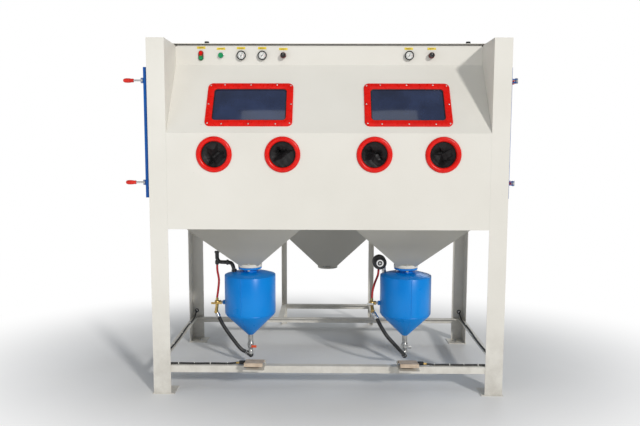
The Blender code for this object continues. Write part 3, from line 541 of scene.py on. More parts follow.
# --- small parts used everywhere
def place_new(bm, start, place):
    """Move the vertices added since the start count to their place."""
    bm.verts.ensure_lookup_table()
    bmesh.ops.transform(bm, matrix=place, verts=bm.verts[start:])


def hexagon(bm, across, height, place, top=0.0008):
    """Add a hexagon nut or bolt head with a domed top, standing on local Z = 0."""
    start = len(bm.verts)
    radius = across / math.sqrt(3)
    made = bmesh.ops.create_cone(bm, cap_ends=True, segments=6, radius1=radius, radius2=radius,
        depth=height)
    verts = made["verts"]
    bmesh.ops.translate(bm, vec=(0, 0, height / 2), verts=verts)
    faces = {face for vert in verts for face in vert.link_faces}
    upper = [face for face in faces if all(vert.co.z > height * 0.9 for vert in face.verts)]
    bmesh.ops.inset_region(bm, faces=upper, thickness=across * 0.06, depth=top)
    place_new(bm, start, place)


def washer(bm, radius, thick, place, steps=24):
    """Add a flat washer with eased edges."""
    start = len(bm.verts)
    lathe(bm, ((0, 0), (radius, 0), (radius, thick * 0.7), (radius * 0.93, thick), (0, thick)), steps)
    place_new(bm, start, place)


def screw_head(bm, radius, height, place):
    """Add a domed cross-head screw."""
    start = len(bm.verts)
    lathe(bm, ((radius, 0), (radius, height * 0.25), (radius * 0.9, height * 0.62),
        (radius * 0.6, height * 0.92), (radius * 0.34, height), (radius * 0.16, height * 0.55),
        (0, height * 0.5)), 20)
    place_new(bm, start, place)


def bolts(name, places, across, finish=STEEL):
    """One piece holding every bolt head of a joint, each on its washer."""
    bm = bmesh.new()
    lift = across * 0.12
    for place in places:
        washer(bm, across * 0.78, lift, place)
        hexagon(bm, across, across * 0.42, place @ Matrix.Translation((0, 0, lift)))
    return add(name, bm, None, finish, ROOT, 30)


# --- blast pots
def blast_pot(side, x, seam_x):
    """Blue pressure pot: pressed lid, rolled shell, cone, weld seams and a bolted neck flange."""
    place = upright(x, POT_Y, 0)
    shell = soft(mm((75, 653), (75, 641.7), (46, 641.7), (46, 623.2)), 0.002)
    stops = (0.06, 0.2, 0.35, 0.5, 0.65, 0.78, 0.9, 1.0)
    lid = [(0.046 + 0.113 * t, 0.6225 - 0.02 * t ** 2.0) for t in stops] + mm((161.6, 600.8),
        (163, 598.5))
    cone = mm((163, 366), (162.2, 360.8), (159.7, 354), (155, 343), (30, 217.8), (20.5, 208.5),
        (17.5, 206.5))
    inside = mm((13.5, 206.5), (13.5, 212), (150, 346), (159, 360), (159, 594), (140, 600), (90, 611),
        (42, 617), (40, 653))
    profile = [*shell, *lid, *cone, *inside]
    pot = turned(f"{side}_pot_shell", profile, place, BLUE, steps=112, close=True, smooth=34)
    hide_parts(f"{side}_blast_pot")
    front = Vector((seam_x, -math.sqrt(0.1634 ** 2 - seam_x ** 2)))
    for part, bead in (("pot", ((1, 0.597), (1, 0.5), (1, 0.43), (1, 0.366))),
            ("cone", ((0.948, 0.3435), (0.6, 0.2865), (0.03 / 0.1634, 0.2178)))):
        points = [(x + front.x * share, POT_Y + front.y * share, z) for share, z in bead]
        hose(f"{side}_{part}_seam", points, 0.0016, BLUE, count=4 * len(points), sides=2)
    for level, radius, bead in (("lid", 0.1615, 0.6), ("cone", 0.1612, 0.356), ("neck", 0.047, 0.6235)):
        ring = [(radius + 0.0014 * math.cos(a), bead + 0.002 * math.sin(a))
            for a in (math.radians(d) for d in range(0, 360, 60))]
        turned(f"{side}_pot_{level}_weld", ring, place, BLUE, steps=96, close=True)
    bar(f"{side}_pot_nipple", at(x, POT_Y, 0.166), at(x, POT_Y, 0.209), 0.0164, STEEL)
    ring = mm((46, 654.5), (74, 654.5), (74, 653), (46, 653))
    turned(f"{side}_flange_gasket", ring, place, SEAL, close=True, steps=64)
    bolts(f"{side}_flange_bolts", bolt_circle(x, POT_Y, 0.675, 0.069, 6, 30), 0.013)
    under = bolt_circle(x, POT_Y, 0.6416, 0.069, 6, 30)
    bolts(f"{side}_flange_nuts", [place @ Matrix.Rotation(math.pi, 4, "X") for place in under], 0.013)


# --- hopper outlets
def hopper_outlet(side, x):
    """Round collar, ring flange and neck weld at the foot of a hopper."""
    place = upright(x, POT_Y, 0)
    profile = soft(mm((44, 654.5), (76.5, 654.5), (76.5, 674.8), (64, 674.8), (62, 681), (58.2, 681.8),
        (44, 679)), 0.0016)
    turned(f"{side}_outlet_collar", profile, place, CREAM, steps=80, close=True)


def collector_outlet():
    """Blind cover and bolts under the dust hopper."""
    place = upright(0, COLLECTOR_Y, 0)
    turned("dust_cover", soft(mm((0, 498.5), (70, 498.5), (74, 500), (74, 511.8), (46, 511.8), (46, 502),
        (0, 502)), 0.001), place, CREAM, steps=64)
    bolts("dust_cover_bolts", bolt_circle(0, COLLECTOR_Y, 0.5122, 0.0615, 8, 22.5), 0.012)


# --- windows
def window(side, x):
    """Red screwed frame with rolled edges, a rubber lip and a dark laminated pane."""
    place = on_slope(x, 0.1945)
    outer = rounded_rectangle(0.49, 0.3, 0.03, 10)
    inner = rounded_rectangle(0.415, 0.22, 0.02, 10)
    bm = bmesh.new()
    frame_ring(bm, outer, inner, ((0.0, 0.0003), (0.0, 0.0048), (0.015, 0.0062), (0.05, 0.0069),
        (0.5, 0.007), (0.95, 0.0069), (0.985, 0.0062), (1.0, 0.0048), (1.0, 0.0003)))
    trim = add(f"{side}_window_surround", bm, place, RED, ROOT, 35)
    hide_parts(f"{side}_window_frame")
    bm = bmesh.new()
    inner = rounded_rectangle(0.4146, 0.2196, 0.02, 10)
    lip = rounded_rectangle(0.405, 0.21, 0.016, 10)
    frame_ring(bm, inner, lip, ((0.0, -0.0025), (0.0, 0.0025), (0.3, 0.0036), (0.7, 0.0032), (1.0, 0.001),
        (1.0, -0.0002), (0.6, -0.0025)))
    add(f"{side}_window_seal", bm, place, SEAL, ROOT, 50)
    pane = slab(f"{side}_window_pane", (0.4538, 0.2588, 0.0052), (0, 0, -0.003), 0.0008, place, PANE,
        smooth=35)
    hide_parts(f"{side}_window_glass")
    bm = bmesh.new()
    points = [(sx * 0.229, sy * 0.132) for sx in (-1, 1) for sy in (-1, 1)]
    points += [(sx * 0.15, sy * 0.137) for sx in (-1, 0, 1) for sy in (-1, 1)]
    points += [(sx * 0.233, 0.0) for sx in (-1, 1)]
    for px, py in points:
        screw_head(bm, 0.0046, 0.0026, place @ Matrix.Translation((px, py, 0.0068)))
    add(f"{side}_window_screws", bm, None, STEEL, ROOT, 30)


# --- arm ports and gloves
def arm_port(name, x, seed):
    """Moulded red ring with rolled lip, a clamp band and a folded rubber glove hanging inside."""
    place = spot(x, 0, ARM_Z)
    profile = [(0.0863 + 0.0137 * math.cos(a), 0.0003 + 0.0117 * math.sin(a))
        for a in (math.radians(d) for d in range(0, 181, 12))]
    profile += mm((72.5, -44.4), (78.8, -44.4), (78.8, -0.4), (82, 0.3))
    ring = turned(f"{name}_port_ring", profile, place, RED, steps=96, close=True, smooth=30)
    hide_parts(f"{name}_arm_ring")
    band = mm((82.9, -13), (83.4, -13), (83.4, -24), (82.9, -24))
    turned(f"{name}_clamp_band", band, place, STEEL, steps=64, close=True)
    glove(name, x, seed)
    bunched_cuff(name, x, seed)


def bunched_cuff(name, x, seed):
    """The sleeve's slack, pushed in behind the ring and lying in flat creased folds."""
    rng = random.Random(seed)
    raised = [(rng.uniform(-1.1, 1.1), rng.uniform(-1.1, 1.1), rng.uniform(-0.008, 0.012))
        for _ in range(6)]
    sunk = [(rng.uniform(-0.9, 0.9), rng.uniform(-0.9, 0.9), rng.uniform(-0.008, 0.008))
        for _ in range(4)]
    lower_fold = (rng.uniform(-0.25, 0.25), -1.25, -0.018)
    bm = bmesh.new()
    loops = [[bm.verts.new((0, 0, 0))]]
    for k in range(1, 46):
        share = k / 45
        loops.append(circle(bm, 0.0708 * share, 0, CUFF_STEPS))
        for vert in loops[-1]:
            px, py = vert.co.xy
            high = max(a * px + b * py + c for a, b, c in (*raised, lower_fold))
            low = max(a * px + b * py + c for a, b, c in sunk)
            crease = max(-0.018, min(0.055, 1.15 * (low - 0.6 * high) + 0.012))
            depth = 0.036 + crease + 0.0012 * math.sin(150 * px + 5 * seed) * math.sin(120 * py)
            settle = max(0.0, min(1.0, (share - 0.86) / 0.14)) ** 1.5
            vert.co.z = -(depth + (0.017 - depth) * settle)
    centre, first = loops[0][0], loops[1]
    centre.co.z = sum(v.co.z for v in first) / CUFF_STEPS
    for i in range(CUFF_STEPS):
        bm.faces.new((centre, first[i], first[(i + 1) % CUFF_STEPS]))
    skin(bm, loops[1:])
    piece = add(f"{name}_bunched_cuff", bm, spot(x, 0, ARM_Z), GLOVE, ROOT, 0)
    piece.data.shade_smooth()
    wall = piece.modifiers.new("cloth", "SOLIDIFY")
    wall.thickness = 0.0012
    wall.offset = -1.0


def glove(name, x, seed):
    """The gauntlet: turned in at the cuff, pinched into folds just behind the ring, hand hanging limp."""
    rng = random.Random(seed)
    creases = [(k, rng.uniform(0, 6.28), rng.uniform(0.6, 1.0)) for k in (2, 3, 5)]
    stations = ((0.01, 0.0722, 0.0), (0.016, 0.0719, 0.02), (0.022, 0.0712, 0.16), (0.03, 0.0706, 0.4),
        (0.04, 0.07, 0.62), (0.052, 0.069, 0.78), (0.066, 0.068, 0.88), (0.082, 0.066, 0.92),
        (0.1, 0.064, 0.94), (0.125, 0.061, 0.94), (0.15, 0.058, 0.92), (0.18, 0.056, 0.86),
        (0.215, 0.055, 0.76), (0.25, 0.054, 0.66), (0.29, 0.053, 0.58), (0.33, 0.052, 0.5),
        (0.37, 0.053, 0.42), (0.41, 0.054, 0.38), (0.44, 0.05, 0.36), (0.465, 0.04, 0.34),
        (0.485, 0.024, 0.25), (0.494, 0.009, 0.1))
    depths = []
    for (y0, r0, f0), (y1, r1, f1) in zip(stations, stations[1:]):
        depths += [(y0 + (y1 - y0) * t, r0 + (r1 - r0) * t, f0 + (f1 - f0) * t)
            for t in (0, 0.2, 0.4, 0.6, 0.8)]
    depths.append(stations[-1])
    bm = bmesh.new()
    rings = []
    for y, radius, fold in depths:
        rings.append(circle(bm, 1.0, -y, CUFF_STEPS))
        for i, vert in enumerate(rings[-1]):
            angle = 2 * math.pi * i / CUFF_STEPS
            wave = 0
            for k, phase, weight in creases:
                twist = y * (9 + 4 * k) * (1 if k % 2 else -1)
                wave += weight * (1 - abs(math.sin(0.5 * (k * angle + phase + twist))) ** 0.8)
            fine = 0.05 * math.sin(13 * angle + 70 * y + seed)
            reach = radius * max(0.06, 1 - fold * (0.3 + 0.62 * (1 - min(1.0, wave / 2.2)) + fine))
            vert.co.xy = reach * math.cos(angle), reach * math.sin(angle) - 0.16 * fold * radius
    skin(bm, rings)
    bm.faces.new(rings[-1])
    lathe(bm, mm((83.2, -12.5), (83.2, -46), (79.3, -46), (79.3, -12.5)), CUFF_STEPS, True)
    piece = add(f"{name}_gauntlet", bm, spot(x, 0, ARM_Z), GLOVE, ROOT, 0)
    piece.data.shade_smooth()
    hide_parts(f"{name}_glove")


# --- controls on the fascia
def fascia(x, z=CONTROL_Z):
    """A placement on the upright fascia, local +Z toward the operator."""
    return spot(x, SLOPE_TOP_Y, z)


def label(name, x, z):
    """Blank yellow label plate with a dark band where the writing would be."""
    place = fascia(x, z)
    slab(f"{name}_label", (0.05, 0.0135, 0.0008), (0, 0, 0.0005), 0.0003, place, YELLOW, smooth=40)
    slab(f"{name}_label_band", (0.03, 0.0032, 0.0003), (0, 0, 0.001), 0.0001, place, LABEL_INK, smooth=40)


def gauge(name, x, needle_angle):
    """Pressure gauge: pressed case, rolled bezel, printed dial, needle and clear cover."""
    place = fascia(x)
    case = soft(mm((0, 0.5), (25, 0.5), (25, 6), (26.2, 6.8), (27, 9), (27, 16.5), (25.8, 18.4),
        (24, 18.4), (21, 16.8), (20.8, 14), (0, 14)), 0.0008)
    body = turned(f"{name}_case", case, place, BLACK, steps=72)
    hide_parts(name)
    turned(f"{name}_dial", mm((0, 14.2), (20.7, 14.2), (20.7, 14.6), (0, 14.8)), place, DIAL, steps=64)
    bm = bmesh.new()
    for i in range(41):
        angle = math.radians(225 - 270 * i / 40)
        major = i % 5 == 0
        middle = 0.0168 if major else 0.0178
        turn = Matrix.Rotation(angle, 4, "Z")
        block(bm, (0.004 if major else 0.002, 0.0007 if major else 0.0003, 0.0002), turn
            @ Vector((middle, 0, 0.0148)), 0, turn=turn)
    turn = Matrix.Rotation(math.radians(needle_angle), 4, "Z")
    block(bm, (0.0185, 0.0013, 0.0004), turn @ Vector((0.0055, 0, 0.0155)), 0, turn=turn)
    block(bm, (0.007, 0.0022, 0.0004), turn @ Vector((-0.0055, 0, 0.0155)), 0, turn=turn)
    lathe(bm, mm((0, 16.4), (2, 16), (2.2, 14.8)), 20)
    add(f"{name}_scale", bm, place, INK, ROOT, 30)
    arc = mm((13.8, 14.75), (14.7, 14.75), (14.7, 14.9), (13.8, 14.9))
    bm = bmesh.new()
    lathe(bm, arc, 64, True)
    gone = []
    for face in bm.faces:
        middle = face.calc_center_median()
        if 20 < math.degrees(math.atan2(middle.y, middle.x)) % 360 < 330:
            gone.append(face)
    bmesh.ops.delete(bm, geom=gone, context="FACES")
    add(f"{name}_red_arc", bm, place, RED, ROOT, 30)
    turned(f"{name}_lens", mm((0, 17.6), (14, 17.5), (20.9, 17.1), (20.9, 16.6), (14, 16.9), (0, 17)),
        place, LENS, steps=64)


def controls():
    """Switch pill, blast button, gauges, regulator knobs and their labels."""
    outline = rounded_rectangle(0.03, 0.058, 0.0148, 12)
    bm = bmesh.new()
    rings = ((1.0, 0.0003), (1.0, 0.004), (0.97, 0.005), (0.9, 0.0055))
    loops = [[bm.verts.new((x * s, y * (1 - (1 - s) * 0.5), z)) for x, y in outline] for s, z in rings]
    skin(bm, loops)
    cap_ends(bm, loops)
    for face in bm.faces:
        face.material_index = 1 if face.calc_center_median().y < 0 else 0
    plate = add("switch_surround", bm, fascia(-0.75), DARK_RED, ROOT, 35)
    plate.data.materials.append(DARK_GREEN)
    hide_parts("switch_plate")
    for name, z, finish in (("start", -0.0135, GREEN), ("stop", 0.0135, RED)):
        place = fascia(-0.75, CONTROL_Z + z)
        cap = turned(f"{name}_button_cap", soft(mm((0, 10), (9.8, 10), (10.7, 10.8), (10.7, 14.2),
            (9.5, 15.5), (7, 15.1), (0, 14.7)), 0.0006), place, finish, f"{name}_button", 48)
        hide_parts(f"{name}_button")
        turned(f"{name}_button_collar", soft(mm((11.1, 5), (13.2, 5), (13.2, 10.8), (12.4, 12),
            (11.1, 12)), 0.0005), place, DARK_RED if name == "stop" else DARK_GREEN, steps=48, close=True)
    slab("switch_pilot_lens", (0.02, 0.003, 0.007), (0, 0, 0.009), 0.001, fascia(-0.75), ORANGE)
    cap = turned("blast_button_cap", soft(mm((0, 7.2), (14.2, 7.2), (15, 8.5), (15, 14), (13.5, 15.8),
        (11, 15.2), (0, 14.8)), 0.0006), fascia(-0.633), GREEN, "blast_button", 56)
    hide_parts("blast_button")
    ring = soft(mm((15.5, 0.3), (19, 0.3), (19, 4), (17.5, 6.2), (15.5, 6.2)), 0.0006)
    turned("blast_button_collar", ring, fascia(-0.633), CHROME, steps=56, close=True)
    for name, x, angle in (("pressure_gauge_left", -0.512, 62), ("pressure_gauge_middle", -0.389, 48),
            ("pressure_gauge_right", 0.471, 66)):
        gauge(name, x, angle)
    for side, x in (("left", -0.266), ("right", 0.6)):
        knob(side, x)
    for name, x, z in (("switch", -0.748, 1.9955), ("blast", -0.632, 1.9895),
            ("gauge_left", -0.514, 1.993), ("gauge_middle", -0.39, 1.993), ("knob_left", -0.266, 1.988),
            ("gauge_right", 0.468, 1.9905), ("knob_right", 0.602, 1.9905)):
        label(name, x, z)


def knob(side, x):
    """Regulator knob: fluted dark red skirt with a black dished cap and an index line."""
    body = f"{side}_regulator_knob"
    bm = bmesh.new()
    loops = []
    for radius, z in ((0.015, 0.0012), (0.0172, 0.002), (0.0174, 0.02), (0.0166, 0.0285), (0.015, 0.03)):
        loops.append(circle(bm, radius, z, 72))
        fluted = 0.0015 < z < 0.029
        for i, vert in enumerate(loops[-1]):
            if fluted and i % 4 in (1, 2):
                vert.co.xy *= 1 - 0.0009 / radius
    skin(bm, loops)
    cap_ends(bm, loops)
    skirt = add(f"{side}_knob_skirt", bm, fascia(x), KNOB_RED, body, 30)
    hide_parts(body)
    turned(f"{side}_knob_cap", soft(mm((0, 29.6), (14.2, 29.6), (14.2, 32.5), (12.5, 33.8), (10, 33),
        (0, 32.2)), 0.0006), fascia(x), BLACK, body, 48)
    slab(f"{side}_knob_index", (0.0014, 0.01, 0.0005), (0, 0.006, 0.0333), 0.0002, fascia(x), WHITE_TIE,
        body, 0)


# --- loading doors and latches
def door_seal():
    """The rubber seal laid round the inside of the left door's tray."""
    bm = bmesh.new()
    outer = rounded_rectangle(0.848, 0.72, 0.03, 8)
    inner = rounded_rectangle(0.806, 0.678, 0.02, 8)
    frame_ring(bm, outer, inner, ((0.0, 0.0), (0.2, 0.0016), (0.8, 0.0016), (1.0, 0.0)))
    place = spot(-1.0035, 0.52, 1.4925, (-1, 0, 0)) @ Matrix.Translation((0, 0, 0.0016))
    add("left_door_seal", bm, place, SEAL, "left_door", 40)


def latch(side, sign, level, z):
    """Toggle latch: pressed hub plate, chrome link and a fat dipped red grip."""
    body = f"{side}_{level}_latch"
    pin = Vector((sign * 1.034, 0.036, z))
    reach = Vector((-1.0, 0.0, 0.0)) if side == "left" else Vector((0.003 / 0.105, 1.0, 0.0)).normalized()
    start = at(*(pin + reach * 0.004))
    link = bar(f"{body}_link", start, at(*(pin + reach * 0.058)), 0.0052, CHROME, body, 24)
    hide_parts(body)
    grip = mm((0, 0), (7.5, 0), (9.8, 1.2), (10.8, 4), (10, 8), (10.6, 14), (12.2, 24), (12.5, 34),
        (12.2, 42), (11.2, 49), (9, 54.5), (5.5, 57.2), (0, 58))
    turned(f"{body}_grip", grip, upright(*(pin + reach * 0.0465)) @ facing(reach), GRIP_RED, body, 40)
    hub = soft(mm((0, -15), (7.8, -15), (7.8, 15), (0, 15)), 0.001)
    turned(f"{body}_hub", hub, upright(*pin), STEEL, body, 32, smooth=30)


# --- valves, hoses and fittings
def nut(name, point, toward, across, height, finish):
    """A hexagon nut centred on a cabinet point, its axis along a direction."""
    way = Vector(toward).normalized()
    bm = bmesh.new()
    hexagon(bm, across, height, Matrix.Translation(at(*point) - way * height / 2) @ facing(way))
    add(name, bm, None, finish, ROOT, 30)


def air_valve(side, wall_x, x, elbow, ferrule):
    """Brass ball valve on the pot's wall, its elbow and the hose's crimped ferrule."""
    z = AIR_VALVE_Z
    core = turned(f"{side}_valve_body", ball_profile(0.0175), upright(x, POT_Y, z), BRASS, steps=40)
    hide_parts(f"{side}_air_valve")
    inward = 1 if wall_x > x else -1
    bar(f"{side}_valve_nipple", at(wall_x - inward * 0.001, POT_Y, z), at(x, POT_Y, z), 0.0095, STEEL)
    nut(f"{side}_valve_wall_boss", (wall_x - inward * 0.007, POT_Y, z), (inward, 0, 0), 0.026, 0.012,
        BLUE)
    nut(f"{side}_valve_side_nut", (x + inward * 0.02, POT_Y, z), (inward, 0, 0), 0.024, 0.009, BRASS)
    top = 0.448
    bar(f"{side}_valve_top", at(x, POT_Y, z), at(x, POT_Y, top), 0.0078, BRASS)
    nut(f"{side}_valve_top_nut", (x, POT_Y, top - 0.008), (0, 0, 1), 0.0175, 0.009, BRASS)
    bar(f"{side}_valve_stem", at(x, POT_Y, z), at(x, 0.4745, z), 0.0055, STEEL)
    elbow, ferrule = Vector(elbow), Vector(ferrule)
    start = Vector((x, POT_Y, z - 0.006))
    down = (ferrule - elbow).normalized()
    bend = (start, start.lerp(elbow, 0.55), elbow, elbow + down * 0.012)
    hose(f"{side}_valve_elbow", bend, 0.0105, BRASS, count=16)
    nut(f"{side}_valve_elbow_nut", elbow, down, 0.025, 0.01, BRASS)
    near = elbow + down * 0.009
    length = (ferrule - near).length
    sleeve = soft(((0, 0), (0.0125, 0), (0.0125, 0.004), (0.015, 0.006), (0.015, length * 0.45),
        (0.014, length * 0.5), (0.015, length * 0.55), (0.015, length - 0.001), (0.0132, length),
        (0, length)), 0.0008)
    turned(f"{side}_hose_ferrule", sleeve, upright(*near) @ facing(down), CHROME, steps=40)
    repaint(STEEL if side == "right" else BRASS, f"{side}_air_valve_handle")


def discharge_valve(side, x, toward, finish):
    """Nickel valve under the cone, its union nuts, the tee and the hose clamp."""
    way = Vector(toward).normalized()
    profile = soft(mm((0, 70), (15, 70), (15, 100), (12.5, 104), (12.5, 116), (19, 120), (20.8, 130),
        (20.8, 146), (19, 155), (15.5, 158.5), (15.5, 165.6), (0, 165.6)), 0.0012)
    body = turned(f"{side}_discharge_body", profile, upright(x, POT_Y, 0), STEEL, steps=48)
    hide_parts(f"{side}_discharge_valve")
    nut(f"{side}_discharge_upper_nut", (x, POT_Y, 0.16), (0, 0, 1), 0.0285, 0.01, STEEL)
    nut(f"{side}_discharge_lower_nut", (x, POT_Y, 0.11), (0, 0, 1), 0.0265, 0.01, STEEL)
    turned(f"{side}_discharge_bend", ball_profile(0.0172), upright(x, POT_Y, 0.07), IRON, steps=40)
    middle = at(x, POT_Y, 0.07)
    bar(f"{side}_discharge_spigot", middle, middle + way * 0.0338, 0.0143, IRON)
    nut(f"{side}_discharge_clamp", Vector((x, POT_Y, 0.07)) + way * 0.026, way, 0.0275, 0.008, STEEL)
    bar(f"{side}_discharge_stem", at(x, POT_Y, DISCHARGE_Z), at(x, POT_Y - 0.0282, DISCHARGE_Z), 0.0058,
        STEEL)
    lever = f"{side}_discharge_handle"
    bm = bmesh.new()
    block(bm, (0.04, 0.0048, 0.016), (0.0205, 0, 0), 0.002)
    for offset in (0.014, 0.022, 0.03):
        block(bm, (0.002, 0.0056, 0.011), (offset, 0, 0), 0.0006)
    paddle = add(f"{side}_discharge_paddle", bm, upright(x, POT_Y - 0.0335, 0.135), finish, lever, 35)
    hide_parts(lever)
    bar(f"{side}_discharge_hub", at(x, POT_Y - 0.0285, DISCHARGE_Z), at(x, POT_Y - 0.0368, DISCHARGE_Z),
        0.0088, STEEL, lever)


def service_hose(name, route, radius, finish):
    """A free hose on its real route."""
    piece, points, length = hose(name, route, radius, finish, ROOT, 40, 6)
    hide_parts(name)


def hoses():
    """Supply and pilot hoses, on the routes their solids have."""
    service_hose("left_air_hose", ((-0.7042, 0.5, 0.3196), (-0.686, 0.5, 0.28), (-0.649, 0.5, 0.22),
        (-0.604, 0.5, 0.157), (-0.564, 0.5, 0.1075), (-0.532, 0.5, 0.0885)), 0.012, HOSE)
    service_hose("right_air_hose", ((0.3161, 0.4283, 0.3275), (0.336, 0.402, 0.292),
        (0.372, 0.375, 0.238), (0.416, 0.367, 0.19), (0.453, 0.39, 0.145), (0.4773, 0.4402, 0.1092),
        (0.4888, 0.4704, 0.0894)), 0.012, HOSE)
    service_hose("left_pilot_hose", ((-0.712, 0.5, 0.6625), (-0.711, 0.5, 0.625), (-0.702, 0.5, 0.565),
        (-0.707, 0.5, 0.505), (-0.715, 0.5, 0.45)), 0.007, HOSE_RED)
    service_hose("right_pilot_hose", ((0.33, 0.55, 0.625), (0.325, 0.545, 0.59), (0.306, 0.53, 0.545),
        (0.29, 0.51, 0.495), (0.285, 0.5, 0.45)), 0.007, HOSE_RED)


def relief_pipe():
    """Black iron relief elbow on the left pot's shoulder: nipple, bend, run and upturned mouth."""
    path = ((-0.6, 0.5, 0.604), (-0.606, 0.5, 0.64), (-0.617, 0.5, 0.67), (-0.64, 0.5, 0.679),
        (-0.67, 0.5, 0.68), (-0.696, 0.5, 0.683), (-0.7095, 0.5, 0.699), (-0.712, 0.5, 0.72),
        (-0.712, 0.5, 0.75))
    pipe, _, _ = hose("relief_elbow", path, 0.0125, IRON, ROOT, 48, 6)
    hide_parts("left_relief_pipe")
    for index, (point, toward, across) in enumerate((((-0.603, 0.5, 0.628), (-0.2, 0, 1), 0.03),
            ((-0.645, 0.5, 0.6795), (-1, 0, 0.03), 0.03), ((-0.712, 0.5, 0.746), (0, 0, 1), 0.029))):
        nut(f"relief_collar_{index}", point, toward, across, 0.011, IRON)
    bar("relief_branch", at(-0.712, 0.5, 0.68), at(-0.712, 0.5, 0.6645), 0.0095, IRON)
    bar("relief_end_plug", at(-0.7, 0.5, 0.68), at(-0.7235, 0.5, 0.68), 0.015, IRON, edge=0.004)


def silencer():
    """Round exhaust silencer behind the right pot's neck: ribbed drum with a pressed end cap in front."""
    x, z = 0.336, 0.674
    place = spot(x, 0.605, z)
    drum = mm((0, 0), (30, 0), (40, 2), (44.5, 7))
    for i in range(7):
        start = 0.01 + 0.0088 * i
        drum += [(0.0448, start), (0.0448, start + 0.0052), (0.0425, start + 0.0062),
            (0.0425, start + 0.0078)]
    drum += mm((44.5, 73), (43, 76.8), (34.5, 77.8), (33.5, 85), (30, 89.2), (18, 89.8), (14, 87.5),
        (0, 87))
    body = turned("silencer_drum", drum, place, IRON, steps=72)
    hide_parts("right_silencer")
    bar("silencer_neck", at(x + 0.03, 0.56, 0.604), at(x + 0.03, 0.56, 0.645), 0.0115, STEEL)
    nut("silencer_neck_nut", (x + 0.03, 0.56, 0.616), (0, 0, 1), 0.028, 0.01, STEEL)
    turned("silencer_cap_ring", soft(mm((15, 87), (23.5, 87), (23.5, 89.9), (15, 89.9)), 0.0008), place,
        CHROME, steps=48, close=True)
    turned("silencer_cap_nut", mm((0, 86.8), (8, 86.8), (8, 89.2), (6, 89.8), (0, 89.8)), place, STEEL,
        steps=6)
    bar("silencer_red_tail", at(0.33, 0.55, 0.6252), at(0.33, 0.551, 0.636), 0.0068, HOSE_RED)


# --- pedals, tubing and feet
def pedal_dressing(side, x, sign):
    """Rubber treadle pad with ribs, pin ends and the tube fitting on the bracket's side."""
    body = f"{side}_pedal"
    front, raised = -0.084, 0.209
    pin_y, pin_z = 0.03, 0.187
    slope = math.atan2(raised - 0.001 - (pin_z + 0.0055), pin_y - front)
    bm = bmesh.new()
    for i in range(8):
        along = 0.01 + 0.0115 * i
        middle = at(x, front + along * math.cos(slope), raised - 0.0011 - along * math.sin(slope))
        block(bm, (0.094, 0.0052, 0.0026), middle, 0.0009, turn=Matrix.Rotation(-slope, 4, "X"))
    add(f"{side}_pedal_ribs", bm, None, BEIGE, body, 40)
    for end in (-1, 1):
        bar(f"{side}_pedal_pin_{'left' if end < 0 else 'right'}", at(x + end * 0.0574, pin_y, pin_z),
            at(x + end * 0.061, pin_y, pin_z), 0.0055, STEEL)
    edge = x + sign * 0.058
    bar(f"{side}_pedal_valve", at(edge, 0.02, 0.1835), at(edge + sign * 0.034, 0.02, 0.1835), 0.0105,
        BLACK)
    bar(f"{side}_pedal_spigot", at(edge + sign * 0.033, 0.02, 0.1815),
        at(edge + sign * 0.052, 0.02, 0.18), 0.0062, BRASS)


def rail_tube(side, x, sign):
    """Control tube tied along the rails, from the rear leg's grommet to the pedal."""
    top = RAIL_TUBE_Z
    inner = sign * 0.972
    start = x + sign * 0.108
    route = [(sign * 0.97, 1.086, 0.21), (sign * 0.97, 1.062, 0.2085), (sign * 0.971, 1.04, 0.193),
        (sign * 0.972, 1.015, 0.179), (inner, 0.96, top)]
    route += [(inner + sign * 0.0035 * math.sin(0.9 * i), 0.96 - 0.095 * i, top) for i in range(1, 9)]
    route += [(inner, 0.11, top), (sign * 0.966, 0.066, top), (sign * 0.945, 0.038, top),
        (sign * 0.905, 0.027, top)]
    span = abs(sign * 0.905 - start)
    steps = 7
    route += [(sign * 0.905 - sign * span * i / steps, 0.0265 + 0.0015 * math.sin(1.7 * i), top)
        for i in range(1, steps)]
    route.append((start, 0.02, 0.18))
    hose(f"{side}_pedal_tube", route, 0.0052, HOSE, ROOT, 160, 3)
    for index, y in enumerate((0.86, 0.62, 0.38, 0.16)):
        tie(f"{side}_side_tie_{index}", (inner + sign * 0.0015, y, top), (0, 1, 0))
    for index, part in enumerate((0.12, 0.36, 0.6, 0.86)):
        tie(f"{side}_front_tie_{index}", (sign * (0.905 - span * part), 0.027, top), (1, 0, 0))
    ring = soft(mm((6.8, -3), (16.5, -3), (16.5, -1), (12.2, 0), (12.2, 3), (6.8, 3)), 0.0006)
    turned(f"{side}_leg_grommet", ring, spot(sign * 0.97, 1.0862, 0.21), SEAL, steps=40, close=True)


def tie(name, point, along):
    """White cable tie round the tube, its head on top."""
    bm = bmesh.new()
    lathe(bm, mm((5.3, -2.2), (6.4, -2.2), (6.4, 2.2), (5.3, 2.2)), 28, True)
    bmesh.ops.transform(bm, matrix=facing(along), verts=bm.verts)
    block(bm, (0.006, 0.006, 0.004), (0, 0, 0.0072), 0.001)
    add(name, bm, upright(*point), WHITE_TIE, ROOT, 40)


def foot_bolts(side, sign):
    """Anchor bolt heads on the foot plates."""
    bolts(f"{side}_foot_bolts", [upright(sign * 0.935, y, 0.0052) for y in (0.07, 1.025)], 0.019)


# --- roof and back
def roof_details():
    """A thin dark grey strip along the roof's front edge, and cable glands."""
    place = upright(0, SLOPE_TOP_Y + 0.003, 2.012)
    # Dark grey strip where the roof meets the fascia.
    slab("roof_front_dark_strip", (1.786, 0.0016, 0.0072), (0, 0, 0), 0.0006, place, GREY_STRIP)
    for name, x in (("left", -0.72), ("right", 0.82)):
        gland = soft(mm((12.5, 2020.4), (15, 2020.4), (15, 2027), (13.2, 2029), (13.2, 2035.2),
            (0, 2035.2), (0, 2035), (12.5, 2035)), 0.0008)
        turned(f"{name}_roof_gland", gland, upright(x, SLOPE_TOP_Y + 0.03, 0), BLACK, steps=40)


